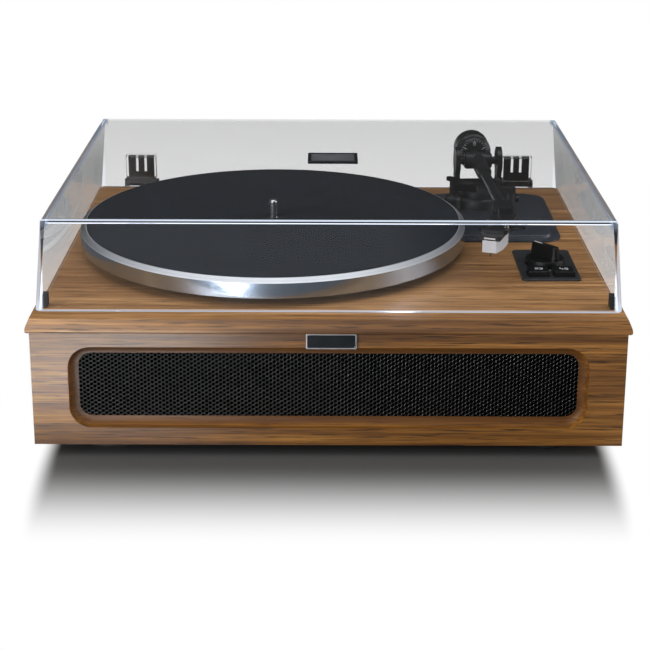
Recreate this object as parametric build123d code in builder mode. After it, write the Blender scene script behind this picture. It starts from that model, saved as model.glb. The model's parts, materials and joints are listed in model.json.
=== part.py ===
"""A belt-drive record player in a wooden speaker cabinet, under a clear hinged dust cover.

Millimetres. +Z is up, the front faces -Y, X is zero on the cabinet's middle plane, Z is zero at
the underside of the feet, and Y is zero halfway from the front lip to the hinges at the back.
"""

import os
from math import atan2, cos, degrees, radians, sin

from build123d import *

os.makedirs("parts", exist_ok=True)

# Cabinet boards
cabinet_width = 411.0
cabinet_depth = 337.0
wall_height = 83.0
board = 12.0
top_thickness = 10.0
lip_overhang = 2.5
lip_run = 2.6
lip_drop = 6.0
lip_round = 9.0
lip_under_round = 2.0
corner_block = 16.0
hinge_reach = 7.5

# Feet
foot_height = 9.0
foot_radius = 18.0
foot_crown = 2.0
foot_side_setback = 50.0
foot_setback = 31.0
foot_recess_radius = 5.5
foot_recess_depth = 4.0
foot_screw_radius = 2.0
foot_screw_head_radius = 4.0
foot_screw_head = 2.5
foot_screw_grip = 9.0

# Grille slot in the front board
grille_width = 347.0
grille_height = 47.0
grille_corner = 9.0
grille_drop = 50.3
cove_radius = 6.5
grille_rebate = 6.0
grille_sheet = 1.2
grille_fit = 0.3

# Loudspeakers
baffle_thickness = 8.0
baffle_fit = 1.5
woofer_inset = 58.5
woofer_hole = 25.5
woofer_flange = 30.0
woofer_flange_thickness = 2.5
woofer_depth = 24.0
woofer_neck = 17.0
basket_wall = 1.5
magnet_radius = 22.0
magnet_depth = 12.0
cone_sheet = 1.0
cone_depth = 14.0
surround_seat = 2.0
surround_mid = 22.3
cone_throat = 8.0
surround_roll = 2.0
dust_cap_rise = 4.0
basket_window_count = 4
basket_window = 9.0
tweeter_spacing = 63.0
tweeter_hole = 13.0
tweeter_flange = 17.0
tweeter_flange_thickness = 2.0
tweeter_body = 11.0
tweeter_depth = 10.0
tweeter_dome = 9.0
tweeter_dome_rise = 4.0

# Platter and its bearing, heights above the deck
platter_side_margin = 12.0
platter_setback = 174.0
platter_radius = 150.0
platter_gap = 7.0
platter_side = 11.0
bevel_run = 4.1
bevel_rise = 2.9
mat_inset = 5.0
mat_thickness = 2.0
mat_fit = 0.3
mat_hole_fit = 0.3
platter_plate = 3.5
platter_rim_wall = 4.0
drive_ring_radius = 95.0
drive_ring_wall = 4.0
hub_radius = 14.0
hub_gap = 5.0
belt_hole_radius = 15.0
belt_hole_count = 3
spindle_radius = 3.55
journal_radius = 4.0
spindle_rise = 14.0
spindle_nose = 2.2
spindle_depth = 34.0
spindle_toe = 1.5
running_fit = 0.05
bush_radius = 6.0
housing_radius = 8.5
housing_flange = 20.0
housing_flange_thickness = 2.5
housing_floor = 3.0
housing_hole_fit = 0.4
hub_clearance = 1.0
thrust_pad_thickness = 1.8
thrust_gap = 0.2

# Motor and belt
motor_gap = 23.0
motor_bearing = 140.0
motor_radius = 18.0
motor_length = 26.0
motor_hole_fit = 2.0
motor_plate_radius = 30.0
motor_plate_thickness = 1.6
motor_plate_bore = 5.0
grommet_radius = 3.6
grommet_height = 3.0
grommet_circle = 12.0
motor_screw_radius = 1.5
motor_screw_head_radius = 2.8
motor_screw_head = 1.4
motor_screw_grip = 5.0
motor_screw_count = 3
motor_boss = 6.0
motor_boss_height = 2.0
shaft_radius = 1.0
shaft_depth = 10.0
pulley_radius = 4.5
pulley_flange_radius = 6.2
pulley_flange = 1.2
pulley_gap = 4.2
pulley_channel = 6.5
belt_thickness = 1.0
belt_height = 5.0
belt_clearance = 0.3

# Tonearm deck plate and tower, heights above the deck
arm_plate_inner = 41.5
arm_plate_side_setback = 20.0
arm_plate_front = 94.5
arm_plate_back_setback = 25.0
arm_plate_corner = 16.0
arm_plate_base = 1.5
arm_plate_top = 4.0
arm_plate_border = 6.0
arm_plate_draft = 30.0
arm_plate_round = 1.0
arm_pivot_gap = 19.0
arm_pivot_setback = 62.5
arm_pivot_height = 41.0
arm_yaw = 2.0
tower_radius = 24.5
tower_height = 8.0
tower_draft = 20.0
tower_round = 3.0
tower_neck_radius = 15.0
tower_neck = 5.0
tower_stem_radius = 9.0
tower_stem_depth = 14.0
stem_hole_fit = 0.4
swivel_radius = 5.0
swivel_gap = 0.5
yoke_half_width = 19.5
yoke_cheek = 4.0
yoke_cheek_radius = 11.5
yoke_leg = 14.0
yoke_base = 5.0
yoke_base_depth = 22.0
pivot_pin_radius = 1.5
pivot_pin_length = 3.0
pivot_blind = 0.3

# Tonearm, measured along the tube from the pivot
barrel_radius = 7.0
barrel_half_length = 11.4
barrel_neck_radius = 3.2
barrel_end_gap = 0.3
barrel_round = 1.2
collar_radius = 6.3
collar_length = 40.0
collar_taper = 7.0
collar_nose_radius = 5.0
tube_radius = 4.2
tube_wall = 0.8
tube_start = 26.0
stub_radius = 4.0
stub_end = 52.0
weight_start = 30.0
weight_length = 20.0
weight_radius = 15.0
weight_round = 1.5
weight_groove = 0.8
weight_groove_width = 1.6
weight_fit = 0.06
dial_length = 6.0
dial_radius = 13.4
dial_bevel = 1.6
dial_gap = 0.1

# Headshell and cartridge
shell_offset = 22.0
shell_bend = 163.0
shell_neck_length = 22.0
shell_neck_grip = 2.0
shell_neck_width = 13.0
shell_neck_height = 10.0
shell_back_width = 17.0
shell_front_width = 21.0
shell_length = 38.0
shell_top = 0.6
shell_plate = 2.6
shell_corner = 2.5
lift_reach = 10.0
lift_width = 5.0
lift_sheet = 1.2
lift_setback = 16.0
screw_spacing = 12.7
screw_station = 24.0
shell_slot_length = 10.0
shell_slot_fit = 0.2
shell_screw_radius = 1.2
shell_screw_head_radius = 2.1
shell_screw_head = 1.3
cartridge_start = 19.0
cartridge_length = 27.0
cartridge_width = 15.0
cartridge_nose_width = 10.5
cartridge_nose = 10.5
cartridge_cap = 3.0
cartridge_height = 9.0
cartridge_round = 1.0
stylus_station = 43.0
stylus_grip_width = 8.0
stylus_grip_start = 25.0
stylus_grip_length = 13.0
stylus_grip_height = 2.0
cantilever_radius = 0.5
cantilever_drop = 1.0
stylus_height = 23.0
tip_length = 1.2
tip_taper = 0.3

# Cueing lift beside the tower
cue_radius = 30.0
cue_angle = 50.0
cue_barrel_radius = 7.5
cue_barrel_round = 3.5
cue_rod_radius = 2.5
cue_rod_depth = 11.0
cue_bar_width = 5.0
cue_bar_thickness = 3.0
cue_bar_corner = 2.0
cue_travel = 3.0
cue_clearance = 0.5
cue_sweep_start = -5.0
cue_sweep_end = 62.0
lever_boss_width = 2.5
lever_boss_root = 9.0
lever_boss_depth = 12.0
lever_boss_height = 11.0
lever_boss_setback = 6.0
lever_pin_radius = 1.6
lever_pin_length = 4.0
lever_pin_rise = 7.0
lever_blind = 0.3
lever_gap = 0.3
lever_thickness = 4.0
lever_hub_radius = 4.5
lever_length = 27.0
lever_tip_radius = 2.6
lever_tilt = 12.0

# Arm rest
rest_station = 69.5
rest_post_side = 17.0
rest_post_radius = 4.5
rest_foot_radius = 8.0
rest_foot_height = 2.5
rest_clearance = 0.4
rest_shelf_width = 9.0
rest_shelf_thickness = 4.0
rest_shelf_reach = 5.0
rest_wall = 4.0
rest_wall_rise = 7.0
rest_edge = 1.0

# Control plate, selector and keys
panel_side_setback = 19.5
panel_span = 43.5
panel_front_setback = 84.2
panel_back_setback = 157.0
panel_sheet = 1.5
panel_corner = 3.0
panel_round = 0.6
knob_offset = -0.75
knob_setback = 122.4
knob_radius = 15.2
knob_skirt = 4.8
knob_skirt_draft = 8.0
knob_gap = 0.4
blade_length = 27.0
blade_width = 8.0
blade_rise = 10.0
blade_draft = 7.0
blade_angle = -49.0
knob_shaft_radius = 3.0
knob_shaft_floor = 2.0
knob_edge_round = 0.8
selector_body = 17.0
selector_body_height = 9.0
selector_bushing = 4.6
bushing_fit = 0.2
key_width = 15.2
key_depth = 14.0
key_pitch = 18.9
key_offset = 0.55
key_setback = 97.0
key_rise = 4.2
key_round = 1.2
key_fit = 0.4
key_travel = 1.5
key_stem = 6.0
key_skirt = 2.2
switch_height = 3.5
switch_size = 7.0
switch_gap = 0.3
switch_board_sheet = 1.6
well_margin = 3.5
switch_board_margin = 6.0

# Dust cover and hinges
cover_side_setback = 2.0
cover_setback = 13.0
cover_height = 64.5
cover_inset = 6.0
cover_wall = 3.0
cover_corner = 6.0
cover_gap = 1.0
cover_back_setback = 1.0
cover_edge_round = 1.6
cover_inner_round = 1.0
bumper_width = 3.5
bumper_depth = 9.0
bumper_height = 9.0
bumper_gap = 0.3
hinge_side_setback = 39.5
hinge_width = 30.0
hinge_plate = 2.5
hinge_drop = 26.0
hinge_axis_back = 4.0
hinge_axis_rise = 3.5
hinge_ear = 3.5
hinge_ear_radius = 3.4
hinge_pin_radius = 1.5
hinge_side_gap = 0.3
hinge_screw_radius = 1.5
hinge_screw_head_radius = 3.0
hinge_screw_head = 1.6
hinge_screw_grip = 9.0
hinge_screw_pitch = 16.0
hinge_screw_drop = 13.0
tongue_thickness = 3.0
tongue_height = 23.0
tongue_slot = 2.4
tongue_slot_pitch = 7.4
tongue_slot_depth = 13.0
tongue_knuckle = 3.2
pocket_wall = 1.8
pocket_fit = 0.2
pocket_rise = 8.5

# Electronics inside
amp_width = 110.0
amp_depth = 70.0
amp_sheet = 1.6
amp_side_setback = 98.5
amp_back_setback = 20.0
standoff_radius = 3.0
standoff_height = 6.0
standoff_inset = 6.0
sink_width = 60.0
sink_depth = 14.0
sink_height = 25.0
sink_base = 3.0
sink_fin = 1.6
sink_fins = 8
sink_offset = 10.0
jack_side_setback = 83.5
jack_drop = 50.0
jack_plate_width = 70.0
jack_plate_height = 28.0
jack_plate_sheet = 2.0
jack_pocket = 4.0
jack_ledge = 5.0
jack_pitch = 14.0
jack_offset = 16.0
jack_radius = 4.15
jack_length = 8.0
jack_core_radius = 1.7
jack_body = 12.0
jack_body_depth = 10.0
inlet_offset = 18.0
inlet_radius = 5.5
inlet_lip = 1.5
inlet_bore = 2.9
inlet_pin = 1.05
inlet_depth = 9.0
jack_fit = 0.15

# Places worked out from the driving sizes
total_depth = lip_overhang + cabinet_depth + hinge_reach
front_y = -total_depth / 2 + lip_overhang
back_y = front_y + cabinet_depth
side_x = cabinet_width / 2
inner_x = side_x - board
inner_front_y = front_y + board
inner_back_y = back_y - board
floor_z = foot_height
inner_floor_z = floor_z + board
roof_z = floor_z + wall_height
deck_z = roof_z + top_thickness
grille_z = deck_z - grille_drop
platter_x = platter_side_margin + platter_radius - side_x
platter_y = front_y + platter_setback
motor_distance = drive_ring_radius + motor_gap
motor_x = platter_x + motor_distance * cos(radians(motor_bearing))
motor_y = platter_y + motor_distance * sin(radians(motor_bearing))
arm_pivot_x = platter_x + platter_radius + arm_pivot_gap
pivot_y = back_y - arm_pivot_setback
pivot_z = deck_z + arm_pivot_height
plateau_z = deck_z + arm_plate_top
panel_x = side_x - panel_side_setback - panel_span / 2
knob_x = panel_x + knob_offset
key_x = panel_x + key_offset
hinge_x = side_x - hinge_side_setback
jack_x = inner_x - jack_side_setback

near = 0.01
X_AXIS = (1, 0, 0)
UP = (0, 0, 1)
FORWARD = (0, -1, 0)
front_plane = Plane(origin=(0, front_y, 0), x_dir=X_AXIS, z_dir=FORWARD)


def upright(x, y, z):
    """A plane standing on the point, its first axis along X and its second along Z."""
    return Plane(origin=(x, y, z), x_dir=X_AXIS, z_dir=FORWARD)


def level(z):
    """A level plane at that height."""
    return Plane.XY.offset(z)


def keep(builder, name):
    """Label a finished piece and write it."""
    builder.part.label = name
    export_step(builder.part, f"parts/{name}.step")


# Top panel: veneered board whose front and side edges are a rounded lip
panel_width = cabinet_width + 2 * lip_overhang
well_left = key_x - key_pitch / 2 - key_width / 2 - key_fit
well_width = key_pitch + key_width + 2 * key_fit
well_front_y = front_y + key_setback - key_depth / 2 - key_fit
well_back_y = front_y + knob_setback + selector_body / 2 + well_margin
with BuildPart() as top_panel:
    with BuildSketch(level(roof_z)):
        with Locations((0, (front_y - lip_overhang + back_y) / 2)):
            Rectangle(panel_width, cabinet_depth + lip_overhang)
    extrude(amount=top_thickness)
    deck_face = top_panel.faces().sort_by(Axis.Z)[-1]
    lip_edges = deck_face.edges().sort_by(Axis.Y)[:-1]
    chamfer(lip_edges, length=lip_run, length2=lip_drop, reference=deck_face)
    nose_z = deck_z - lip_drop
    nose_edges = top_panel.edges().filter_by_position(Axis.Z, nose_z - near, nose_z + near)
    fillet(nose_edges.sort_by(Axis.Y)[:3], radius=lip_round)
    under_edges = top_panel.faces().sort_by(Axis.Z)[0].edges().sort_by(Axis.Y)[:-1]
    fillet(under_edges, radius=lip_under_round)
    with BuildSketch(level(roof_z)):
        with Locations((platter_x, platter_y)):
            Circle(housing_radius + housing_hole_fit)
        with Locations((motor_x, motor_y)):
            Circle(motor_radius + motor_hole_fit)
        with Locations((arm_pivot_x, pivot_y)):
            Circle(tower_stem_radius + stem_hole_fit)
        with Locations((well_left + well_width / 2, (well_front_y + well_back_y) / 2)):
            Rectangle(well_width, well_back_y - well_front_y)
    extrude(amount=top_thickness, mode=Mode.SUBTRACT)
keep(top_panel, "top_panel")

# Front board: a long slot for the grille, its edge hollowed into a cove
with BuildPart() as front_panel:
    with BuildSketch(front_plane):
        with Locations((0, floor_z + wall_height / 2)):
            Rectangle(cabinet_width, wall_height)
    extrude(amount=-board)
    with BuildSketch(front_plane) as slot_sketch:
        with Locations((0, grille_z)):
            RectangleRounded(grille_width, grille_height, grille_corner)
    extrude(amount=-board, mode=Mode.SUBTRACT)
    with BuildSketch(front_plane.offset(-board)):
        with Locations((0, grille_z)):
            RectangleRounded(
                grille_width + 2 * grille_rebate,
                grille_height + 2 * grille_rebate,
                grille_corner + grille_rebate,
            )
    extrude(amount=board - cove_radius, mode=Mode.SUBTRACT)
    cove_path = slot_sketch.sketch.face().outer_wire()
    with BuildSketch(Plane(origin=cove_path @ 0, z_dir=cove_path % 0)):
        Circle(cove_radius)
    sweep(path=cove_path, mode=Mode.SUBTRACT)
keep(front_panel, "front_panel")

# Side, back and bottom boards
side_length = back_y - inner_front_y
for side, name in ((-1, "left_side_panel"), (1, "right_side_panel")):
    with BuildPart() as side_panel:
        with BuildSketch(level(floor_z)):
            with Locations((side * (side_x - board / 2), inner_front_y + side_length / 2)):
                Rectangle(board, side_length)
        extrude(amount=wall_height)
    keep(side_panel, name)

jack_z = deck_z - jack_drop
hinge_sides = (-hinge_x, hinge_x)
hinge_screw_z = deck_z - hinge_screw_drop
hinge_screw_places = [
    (x + side * hinge_screw_pitch / 2, hinge_screw_z) for x in hinge_sides for side in (-1, 1)
]
with BuildPart() as back_panel:
    with BuildSketch(upright(0, inner_back_y, 0)):
        with Locations((0, floor_z + wall_height / 2)):
            Rectangle(2 * inner_x, wall_height)
    extrude(amount=-board)
    with BuildSketch(upright(jack_x, back_y, jack_z)):
        Rectangle(jack_plate_width, jack_plate_height)
    extrude(amount=jack_pocket, mode=Mode.SUBTRACT)
    with BuildSketch(upright(jack_x, back_y, jack_z)):
        Rectangle(jack_plate_width - 2 * jack_ledge, jack_plate_height - 2 * jack_ledge)
    extrude(amount=board, mode=Mode.SUBTRACT)
    with BuildSketch(upright(0, back_y, 0)):
        with Locations(*hinge_screw_places):
            Circle(hinge_screw_radius)
    extrude(amount=hinge_screw_grip, mode=Mode.SUBTRACT)
keep(back_panel, "back_panel")

foot_x = side_x - foot_side_setback
foot_front_y = front_y + foot_setback
foot_back_y = back_y - foot_setback
foot_points = [(x, y) for x in (-foot_x, foot_x) for y in (foot_front_y, foot_back_y)]
with BuildPart() as bottom_panel:
    with BuildSketch(level(floor_z)):
        with Locations((0, (inner_front_y + inner_back_y) / 2)):
            Rectangle(2 * inner_x, inner_back_y - inner_front_y)
    extrude(amount=board)
    with BuildSketch(level(floor_z)):
        with Locations(*foot_points):
            Circle(foot_screw_radius)
    extrude(amount=foot_screw_grip, mode=Mode.SUBTRACT)
keep(bottom_panel, "bottom_panel")

with BuildPart() as corner_blocks:
    with BuildSketch(level(inner_floor_z)):
        with Locations((0, (inner_front_y + inner_back_y) / 2)):
            with GridLocations(
                2 * inner_x - corner_block, inner_back_y - inner_front_y - corner_block, 2, 2
            ):
                Rectangle(corner_block, corner_block)
    extrude(amount=roof_z - inner_floor_z)
keep(corner_blocks, "corner_blocks")

# Feet: turned rubber buttons screwed up into the bottom board
with BuildPart() as feet:
    with BuildSketch(level(0)):
        with Locations(*foot_points):
            Circle(foot_radius)
    extrude(amount=foot_height)
    fillet(feet.edges().group_by(Axis.Z)[0], radius=foot_crown)
    with BuildSketch(level(0)):
        with Locations(*foot_points):
            Circle(foot_recess_radius)
    extrude(amount=foot_recess_depth, mode=Mode.SUBTRACT)
    with BuildSketch(level(0)):
        with Locations(*foot_points):
            Circle(foot_screw_radius)
    extrude(amount=foot_height, mode=Mode.SUBTRACT)
keep(feet, "feet")

with BuildPart() as foot_screws:
    with BuildSketch(level(foot_recess_depth - foot_screw_head)):
        with Locations(*foot_points):
            Circle(foot_screw_head_radius)
    extrude(amount=foot_screw_head)
    with BuildSketch(level(foot_recess_depth)):
        with Locations(*foot_points):
            Circle(foot_screw_radius)
    extrude(amount=foot_height - foot_recess_depth + foot_screw_grip)
keep(foot_screws, "foot_screws")

# Speaker grille: a pressed steel tray, its face at the bottom of the cove
tray_width = grille_width + 2 * grille_rebate - 2 * grille_fit
tray_height = grille_height + 2 * grille_rebate - 2 * grille_fit
tray_corner = grille_corner + grille_rebate - grille_fit
tray_y = front_y + cove_radius
with BuildPart() as speaker_grille:
    with BuildSketch(upright(0, tray_y, grille_z)):
        RectangleRounded(tray_width, tray_height, tray_corner)
    extrude(amount=-(board - cove_radius))
    with BuildSketch(upright(0, tray_y + grille_sheet, grille_z)):
        RectangleRounded(
            tray_width - 2 * grille_sheet, tray_height - 2 * grille_sheet, tray_corner - grille_sheet
        )
    extrude(amount=-board, mode=Mode.SUBTRACT)
keep(speaker_grille, "speaker_grille")

# Speaker baffle: a board behind the slot, with a round hole for each driver
driver_z = grille_z
baffle_width = 2 * (inner_x - corner_block - baffle_fit)
woofer_x = grille_width / 2 - woofer_inset
tweeter_x = woofer_x - tweeter_spacing
baffle_back_y = inner_front_y + baffle_thickness
with BuildPart() as speaker_baffle:
    with BuildSketch(upright(0, inner_front_y, 0)):
        with Locations((0, (inner_floor_z + roof_z) / 2)):
            Rectangle(baffle_width, roof_z - inner_floor_z)
        with Locations((-woofer_x, driver_z), (woofer_x, driver_z)):
            Circle(woofer_hole, mode=Mode.SUBTRACT)
        with Locations((-tweeter_x, driver_z), (tweeter_x, driver_z)):
            Circle(tweeter_hole, mode=Mode.SUBTRACT)
    extrude(amount=-baffle_thickness)
keep(speaker_baffle, "speaker_baffle")

# Drivers: half sections drawn from the axis outwards, depth measured back from the baffle
BACKWARD = (0, 1, 0)
basket_mouth = woofer_hole - surround_seat
window_middle = (basket_mouth + woofer_neck) / 2
surround_in = surround_mid - surround_roll
cap_depth = cone_depth - dust_cap_rise
half_way = cos(radians(45))
woofer_sides = (-woofer_x, woofer_x)
tweeter_sides = (-tweeter_x, tweeter_x)


def driver_axis(x):
    """The axis of a driver, running back from the baffle's rear face."""
    return Axis((x, baffle_back_y, driver_z), BACKWARD)


def driver_section(x):
    """A level plane through a driver, its first axis outwards and its second backwards."""
    return Plane(origin=(x, baffle_back_y, driver_z), x_dir=X_AXIS, z_dir=UP)


def driver_face(x, depth):
    """A plane square to a driver's axis, that far behind the baffle."""
    return Plane(origin=(x, baffle_back_y + depth, driver_z), x_dir=X_AXIS, z_dir=BACKWARD)


with BuildPart() as woofer_baskets:
    for x in woofer_sides:
        with BuildSketch(driver_section(x)):
            with BuildLine():
                Polyline(
                    (basket_mouth, 0),
                    (woofer_flange, 0),
                    (woofer_flange, woofer_flange_thickness),
                    (basket_mouth + basket_wall, woofer_flange_thickness),
                    (woofer_neck + basket_wall, woofer_depth),
                    (cone_throat + basket_wall, woofer_depth),
                    (cone_throat + basket_wall, woofer_depth - basket_wall),
                    (woofer_neck, woofer_depth - basket_wall),
                    close=True,
                )
            make_face()
        revolve(axis=driver_axis(x))
        with BuildSketch(driver_face(x, 0)):
            with PolarLocations(window_middle, basket_window_count):
                Rectangle(basket_mouth - woofer_neck, basket_window)
        extrude(amount=woofer_depth - basket_wall, mode=Mode.SUBTRACT)
keep(woofer_baskets, "woofer_baskets")

with BuildPart() as woofer_cones:
    for x in woofer_sides:
        with BuildSketch(driver_section(x)):
            with BuildLine():
                Polyline(
                    (0, cap_depth),
                    (cone_throat, cone_depth),
                    (surround_in, -cone_sheet),
                    (surround_mid, -cone_sheet - surround_roll),
                    (woofer_hole, -cone_sheet),
                    (woofer_hole, 0),
                    (basket_mouth, 0),
                    (surround_mid, -surround_roll),
                    (surround_in, 0),
                    (cone_throat, cone_depth + cone_sheet),
                    (0, cap_depth + cone_sheet),
                    close=True,
                )
            make_face()
        revolve(axis=driver_axis(x))
keep(woofer_cones, "woofer_cones")

with BuildPart() as woofer_magnets:
    for x in woofer_sides:
        with BuildSketch(driver_face(x, woofer_depth)):
            Circle(magnet_radius)
        extrude(amount=magnet_depth)
keep(woofer_magnets, "woofer_magnets")

with BuildPart() as tweeters:
    for x in tweeter_sides:
        with BuildSketch(driver_section(x)):
            with BuildLine():
                ThreePointArc(
                    (0, -tweeter_dome_rise),
                    (tweeter_dome * half_way, -tweeter_dome_rise * half_way),
                    (tweeter_dome, 0),
                )
                Polyline(
                    (tweeter_dome, 0),
                    (tweeter_flange, 0),
                    (tweeter_flange, tweeter_flange_thickness),
                    (tweeter_body, tweeter_flange_thickness),
                    (tweeter_body, tweeter_depth),
                    (0, tweeter_depth),
                    (0, -tweeter_dome_rise),
                )
            make_face()
        revolve(axis=driver_axis(x))
keep(tweeters, "tweeters")

# Platter: cast aluminium dish, turned outside, with a drive ring and a hub underneath
platter_axis = Axis((platter_x, platter_y, 0), UP)
platter_section = upright(platter_x, platter_y, deck_z)
rim_top = platter_gap + platter_side
crown_radius = platter_radius - bevel_run
crown_top = rim_top + bevel_rise
mat_radius = platter_radius - mat_inset
seat_radius = mat_radius + mat_fit
seat_top = crown_top - mat_thickness
plate_under = seat_top - platter_plate
with BuildPart() as platter:
    with BuildSketch(platter_section):
        with BuildLine():
            Polyline(
                (journal_radius, seat_top),
                (seat_radius, seat_top),
                (seat_radius, crown_top),
                (crown_radius, crown_top),
                (platter_radius, rim_top),
                (platter_radius, platter_gap),
                (platter_radius - platter_rim_wall, platter_gap),
                (platter_radius - platter_rim_wall, plate_under),
                (drive_ring_radius, plate_under),
                (drive_ring_radius, hub_gap),
                (drive_ring_radius - drive_ring_wall, hub_gap),
                (drive_ring_radius - drive_ring_wall, plate_under),
                (hub_radius, plate_under),
                (hub_radius, hub_gap),
                (journal_radius, hub_gap),
                close=True,
            )
        make_face()
    revolve(axis=platter_axis)
    with BuildSketch(level(deck_z + plate_under)):
        with Locations((platter_x, platter_y)):
            with PolarLocations(motor_distance, belt_hole_count, start_angle=motor_bearing):
                Circle(belt_hole_radius)
    extrude(amount=platter_plate, mode=Mode.SUBTRACT)
keep(platter, "platter")

with BuildPart() as platter_mat:
    with BuildSketch(level(deck_z + seat_top)):
        with Locations((platter_x, platter_y)):
            Circle(mat_radius)
            Circle(journal_radius + mat_hole_fit, mode=Mode.SUBTRACT)
    extrude(amount=mat_thickness)
keep(platter_mat, "platter_mat")

# Spindle: ground steel journal up to the mat's face, then a thinner pin with a rounded nose
with BuildPart() as spindle:
    with BuildSketch(level(deck_z - spindle_depth)):
        with Locations((platter_x, platter_y)):
            Circle(journal_radius)
    extrude(amount=spindle_depth + crown_top)
    with BuildSketch(level(deck_z + crown_top)):
        with Locations((platter_x, platter_y)):
            Circle(spindle_radius)
    extrude(amount=spindle_rise)
    fillet(spindle.edges().sort_by(Axis.Z)[-1], radius=spindle_nose)
    fillet(spindle.edges().sort_by(Axis.Z)[0], radius=spindle_toe)
keep(spindle, "spindle")

# Platter bearing: flanged housing through the deck, bronze bush, thrust pad under the spindle
pad_top = -spindle_depth - thrust_gap
pad_bottom = pad_top - thrust_pad_thickness
boss_top = hub_gap - hub_clearance
bush_bore = journal_radius + running_fit
with BuildPart() as bearing_housing:
    with BuildSketch(platter_section):
        with BuildLine():
            Polyline(
                (0, pad_bottom),
                (bush_radius, pad_bottom),
                (bush_radius, boss_top),
                (housing_radius, boss_top),
                (housing_radius, housing_flange_thickness),
                (housing_flange, housing_flange_thickness),
                (housing_flange, 0),
                (housing_radius, 0),
                (housing_radius, pad_bottom - housing_floor),
                (0, pad_bottom - housing_floor),
                close=True,
            )
        make_face()
    revolve(axis=platter_axis)
keep(bearing_housing, "bearing_housing")

with BuildPart() as bearing_bush:
    with BuildSketch(level(deck_z + pad_top)):
        with Locations((platter_x, platter_y)):
            Circle(bush_radius)
            Circle(bush_bore, mode=Mode.SUBTRACT)
    extrude(amount=boss_top - pad_top)
keep(bearing_bush, "bearing_bush")

with BuildPart() as thrust_pad:
    with BuildSketch(level(deck_z + pad_bottom)):
        with Locations((platter_x, platter_y)):
            Circle(bush_radius)
    extrude(amount=thrust_pad_thickness)
keep(thrust_pad, "thrust_pad")

# Motor: hung in the deck on three rubber grommets under a steel plate
motor_top_z = deck_z - grommet_height
motor_base_z = motor_top_z - motor_length
motor_place = (motor_x, motor_y)
with BuildPart() as motor_plate:
    with BuildSketch(level(deck_z)):
        with Locations(motor_place):
            Circle(motor_plate_radius)
            Circle(motor_plate_bore, mode=Mode.SUBTRACT)
            with PolarLocations(grommet_circle, motor_screw_count):
                Circle(motor_screw_radius, mode=Mode.SUBTRACT)
    extrude(amount=motor_plate_thickness)
keep(motor_plate, "motor_plate")

with BuildPart() as motor_grommets:
    with BuildSketch(level(motor_top_z)):
        with Locations(motor_place):
            with PolarLocations(grommet_circle, motor_screw_count):
                Circle(grommet_radius)
                Circle(motor_screw_radius, mode=Mode.SUBTRACT)
    extrude(amount=grommet_height)
keep(motor_grommets, "motor_grommets")

with BuildPart() as motor_body:
    with BuildSketch(level(motor_base_z)):
        with Locations(motor_place):
            Circle(motor_radius)
    extrude(amount=motor_length)
    fillet(motor_body.edges().group_by(Axis.Z)[0], radius=motor_boss_height)
    with BuildSketch(level(motor_top_z)):
        with Locations(motor_place):
            Circle(motor_boss)
    extrude(amount=motor_boss_height)
    with BuildSketch(level(motor_top_z + motor_boss_height)):
        with Locations(motor_place):
            Circle(shaft_radius + running_fit)
    extrude(amount=-shaft_depth - motor_boss_height - running_fit, mode=Mode.SUBTRACT)
    with BuildSketch(level(motor_top_z)):
        with Locations(motor_place):
            with PolarLocations(grommet_circle, motor_screw_count):
                Circle(motor_screw_radius)
    extrude(amount=-motor_screw_grip, mode=Mode.SUBTRACT)
keep(motor_body, "motor_body")

with BuildPart() as motor_screws:
    with BuildSketch(level(motor_top_z - motor_screw_grip)):
        with Locations(motor_place):
            with PolarLocations(grommet_circle, motor_screw_count):
                Circle(motor_screw_radius)
    extrude(amount=motor_screw_grip + grommet_height + motor_plate_thickness)
    with BuildSketch(level(deck_z + motor_plate_thickness)):
        with Locations(motor_place):
            with PolarLocations(grommet_circle, motor_screw_count):
                Circle(motor_screw_head_radius)
    extrude(amount=motor_screw_head)
keep(motor_screws, "motor_screws")

# Motor pulley: flanged brass pulley pressed on the motor shaft
pulley_axis = Axis((motor_x, motor_y, 0), UP)
channel_bottom = pulley_gap + pulley_flange
channel_top = channel_bottom + pulley_channel
pulley_top = channel_top + pulley_flange
with BuildPart() as motor_pulley:
    with BuildSketch(upright(motor_x, motor_y, deck_z)):
        with BuildLine():
            Polyline(
                (0, -grommet_height - shaft_depth),
                (shaft_radius, -grommet_height - shaft_depth),
                (shaft_radius, pulley_gap),
                (pulley_flange_radius, pulley_gap),
                (pulley_flange_radius, channel_bottom),
                (pulley_radius, channel_bottom),
                (pulley_radius, channel_top),
                (pulley_flange_radius, channel_top),
                (pulley_flange_radius, pulley_top),
                (0, pulley_top),
                close=True,
            )
        make_face()
    revolve(axis=pulley_axis)
keep(motor_pulley, "motor_pulley")

# Drive belt: flat rubber loop round the drive ring and the pulley
belt_z = deck_z + channel_bottom + (pulley_channel - belt_height) / 2
with BuildPart() as drive_belt:
    with BuildSketch(level(belt_z)):
        with Locations((platter_x, platter_y)):
            Circle(drive_ring_radius + belt_clearance + belt_thickness)
        with Locations(motor_place):
            Circle(pulley_radius + belt_clearance + belt_thickness)
        make_hull()
    extrude(amount=belt_height)
    with BuildSketch(level(belt_z)):
        with Locations((platter_x, platter_y)):
            Circle(drive_ring_radius + belt_clearance)
        with Locations(motor_place):
            Circle(pulley_radius + belt_clearance)
        make_hull()
    extrude(amount=belt_height, mode=Mode.SUBTRACT)
keep(drive_belt, "drive_belt")

# Tonearm frame: along the tube from the pivot, to its right, and up
yaw = radians(arm_yaw)
along = Vector(sin(yaw), -cos(yaw), 0)
right = Vector(cos(yaw), sin(yaw), 0)
pivot = Vector(arm_pivot_x, pivot_y, pivot_z)
arm_axis = Axis(pivot, along)
cross_axis = Axis(pivot, right)
arm_section = Plane(origin=pivot, x_dir=along, z_dir=-right)


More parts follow.
